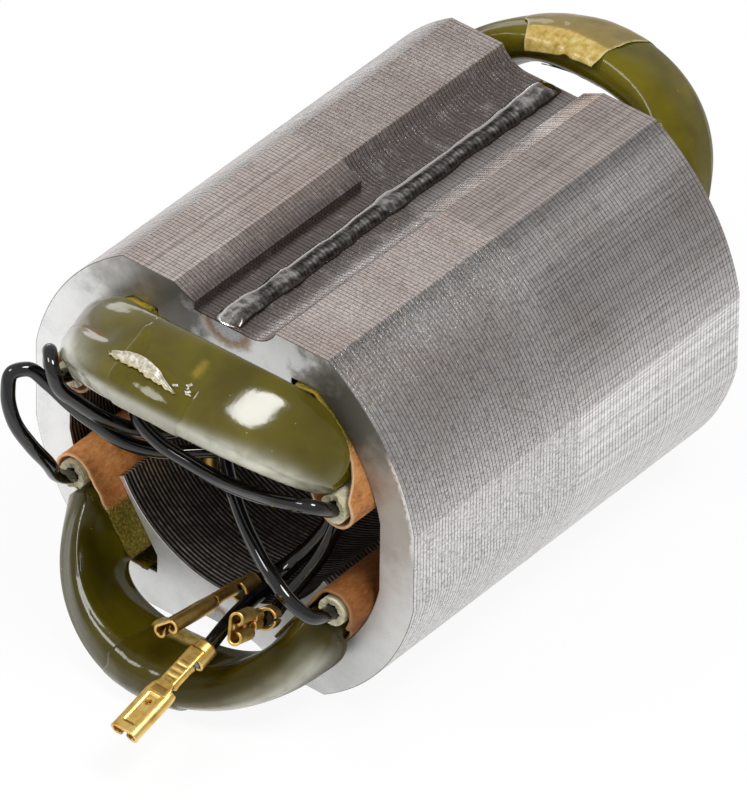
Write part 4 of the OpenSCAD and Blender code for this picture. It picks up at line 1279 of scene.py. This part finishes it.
def portrait_camera():
    """Camera above the lead end and to its right, turned a little about its own axis."""
    azimuth, elevation, roll = np.radians([38.87, 38.05, 0.83])
    to_right, upwards, away = -1.53, -4.79, 1522.3
    back = np.array([
        np.sin(azimuth) * np.cos(elevation), -np.cos(azimuth) * np.cos(elevation), np.sin(elevation),
    ])
    level = np.array([np.cos(azimuth), np.sin(azimuth), 0])
    rise = np.cross(back, level)
    right, up = np.cos(roll) * level + np.sin(roll) * rise, np.cos(roll) * rise - np.sin(roll) * level
    place = (to_right * right + upwards * up + away * back) * MM
    camera = bpy.data.objects.new("portrait_camera", bpy.data.cameras.new("portrait_camera"))
    camera.data.lens = 658.7
    camera.data.sensor_width = 36
    camera.matrix_world = Matrix(np.vstack([np.column_stack([right, up, back, place]), [0, 0, 0, 1]]))
    bpy.context.scene.collection.objects.link(camera)
    bpy.context.scene.camera = camera


bpy.context.scene.view_settings.view_transform = "Standard"
portrait_camera()
white_floor()
studio()

SHEET_EDGE_STEEL, END_FACE_STEEL, BORE_STEEL = sheet_edge_steel(), end_face_steel(), bore_steel()
WELD_METAL, DIP_RESIN, FISH_PAPER, GLASS_SLEEVE = weld_metal(), dip_resin(), fish_paper(), glass_sleeve()
WRAP_FILM, FILM_SHARD, LEAD_SKIN = wrap_film(), film_shard(), lead_skin()
TERMINAL_BRASS, COPPER_STRAND, SPLICE_SOLDER = terminal_brass(), copper_strand(), splice_solder()

for number, (corner, (side, level)) in enumerate(CORNERS.items()):
    wire, path = lead(f"lead_{corner}_skin", corner)
    stand_for(wire, f"lead_{corner}")
    brass = terminal(f"terminal_{corner}_strip", corner)
    stand_for(brass, f"terminal_{corner}")
    copper = strands(f"strands_{corner}", corner)
    stand_for(copper)
    liner = slot_liner(f"liner_{corner}_paper", side, level, 40 + 5 * number, *PAPER_LIGHT_SHADE_AND_LIP[corner])
    stand_for(liner, f"liner_{corner}")
    sleeve = lead_sleeve(f"sleeve_{corner}_braid", side, level, 70 + 5 * number)
    stand_for(sleeve, f"sleeve_{corner}")
    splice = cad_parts[f"splice_{corner}"]
    splice.data.materials.clear()
    splice.data.materials.append(SPLICE_SOLDER)

for word, first_y, last_y, ledge_side, seed in (
    ("front", -HALF_LEN, BREAK_Y, LEFT, 3), ("rear", BREAK_Y, HALF_LEN, RIGHT, 5),
):
    sheets = round((last_y - first_y) / SHEET)
    pack = lamination_pack(f"{word}_sheets", sheets, first_y, ledge_side, seed)
    stand_for(pack, f"{word}_pack")
for word, level in (("top", UPPER), ("bottom", LOWER)):
    stand_for(weld_bead(f"weld_{word}", level, 20 + level), f"weld_bead_{word}")
for word, level in (("upper", UPPER), ("lower", LOWER)):
    stand_for(coil(f"{word}_dipped_coil", level, 30 + 3 * level), f"{word}_coil")
    stand_for(end_wrap(f"front_film_{word}", level, 87 + 7 * level), f"front_wrap_{word}")
    stand_for(flap_wrap(f"rear_film_{word}", level, 93 + 7 * level), f"rear_wrap_{word}")
stand_for(torn_strip("torn_film_strip", 61))
stand_for(film_crumbs("film_crumbs", 62))
stand_for(slot_plug("slot_plug"))
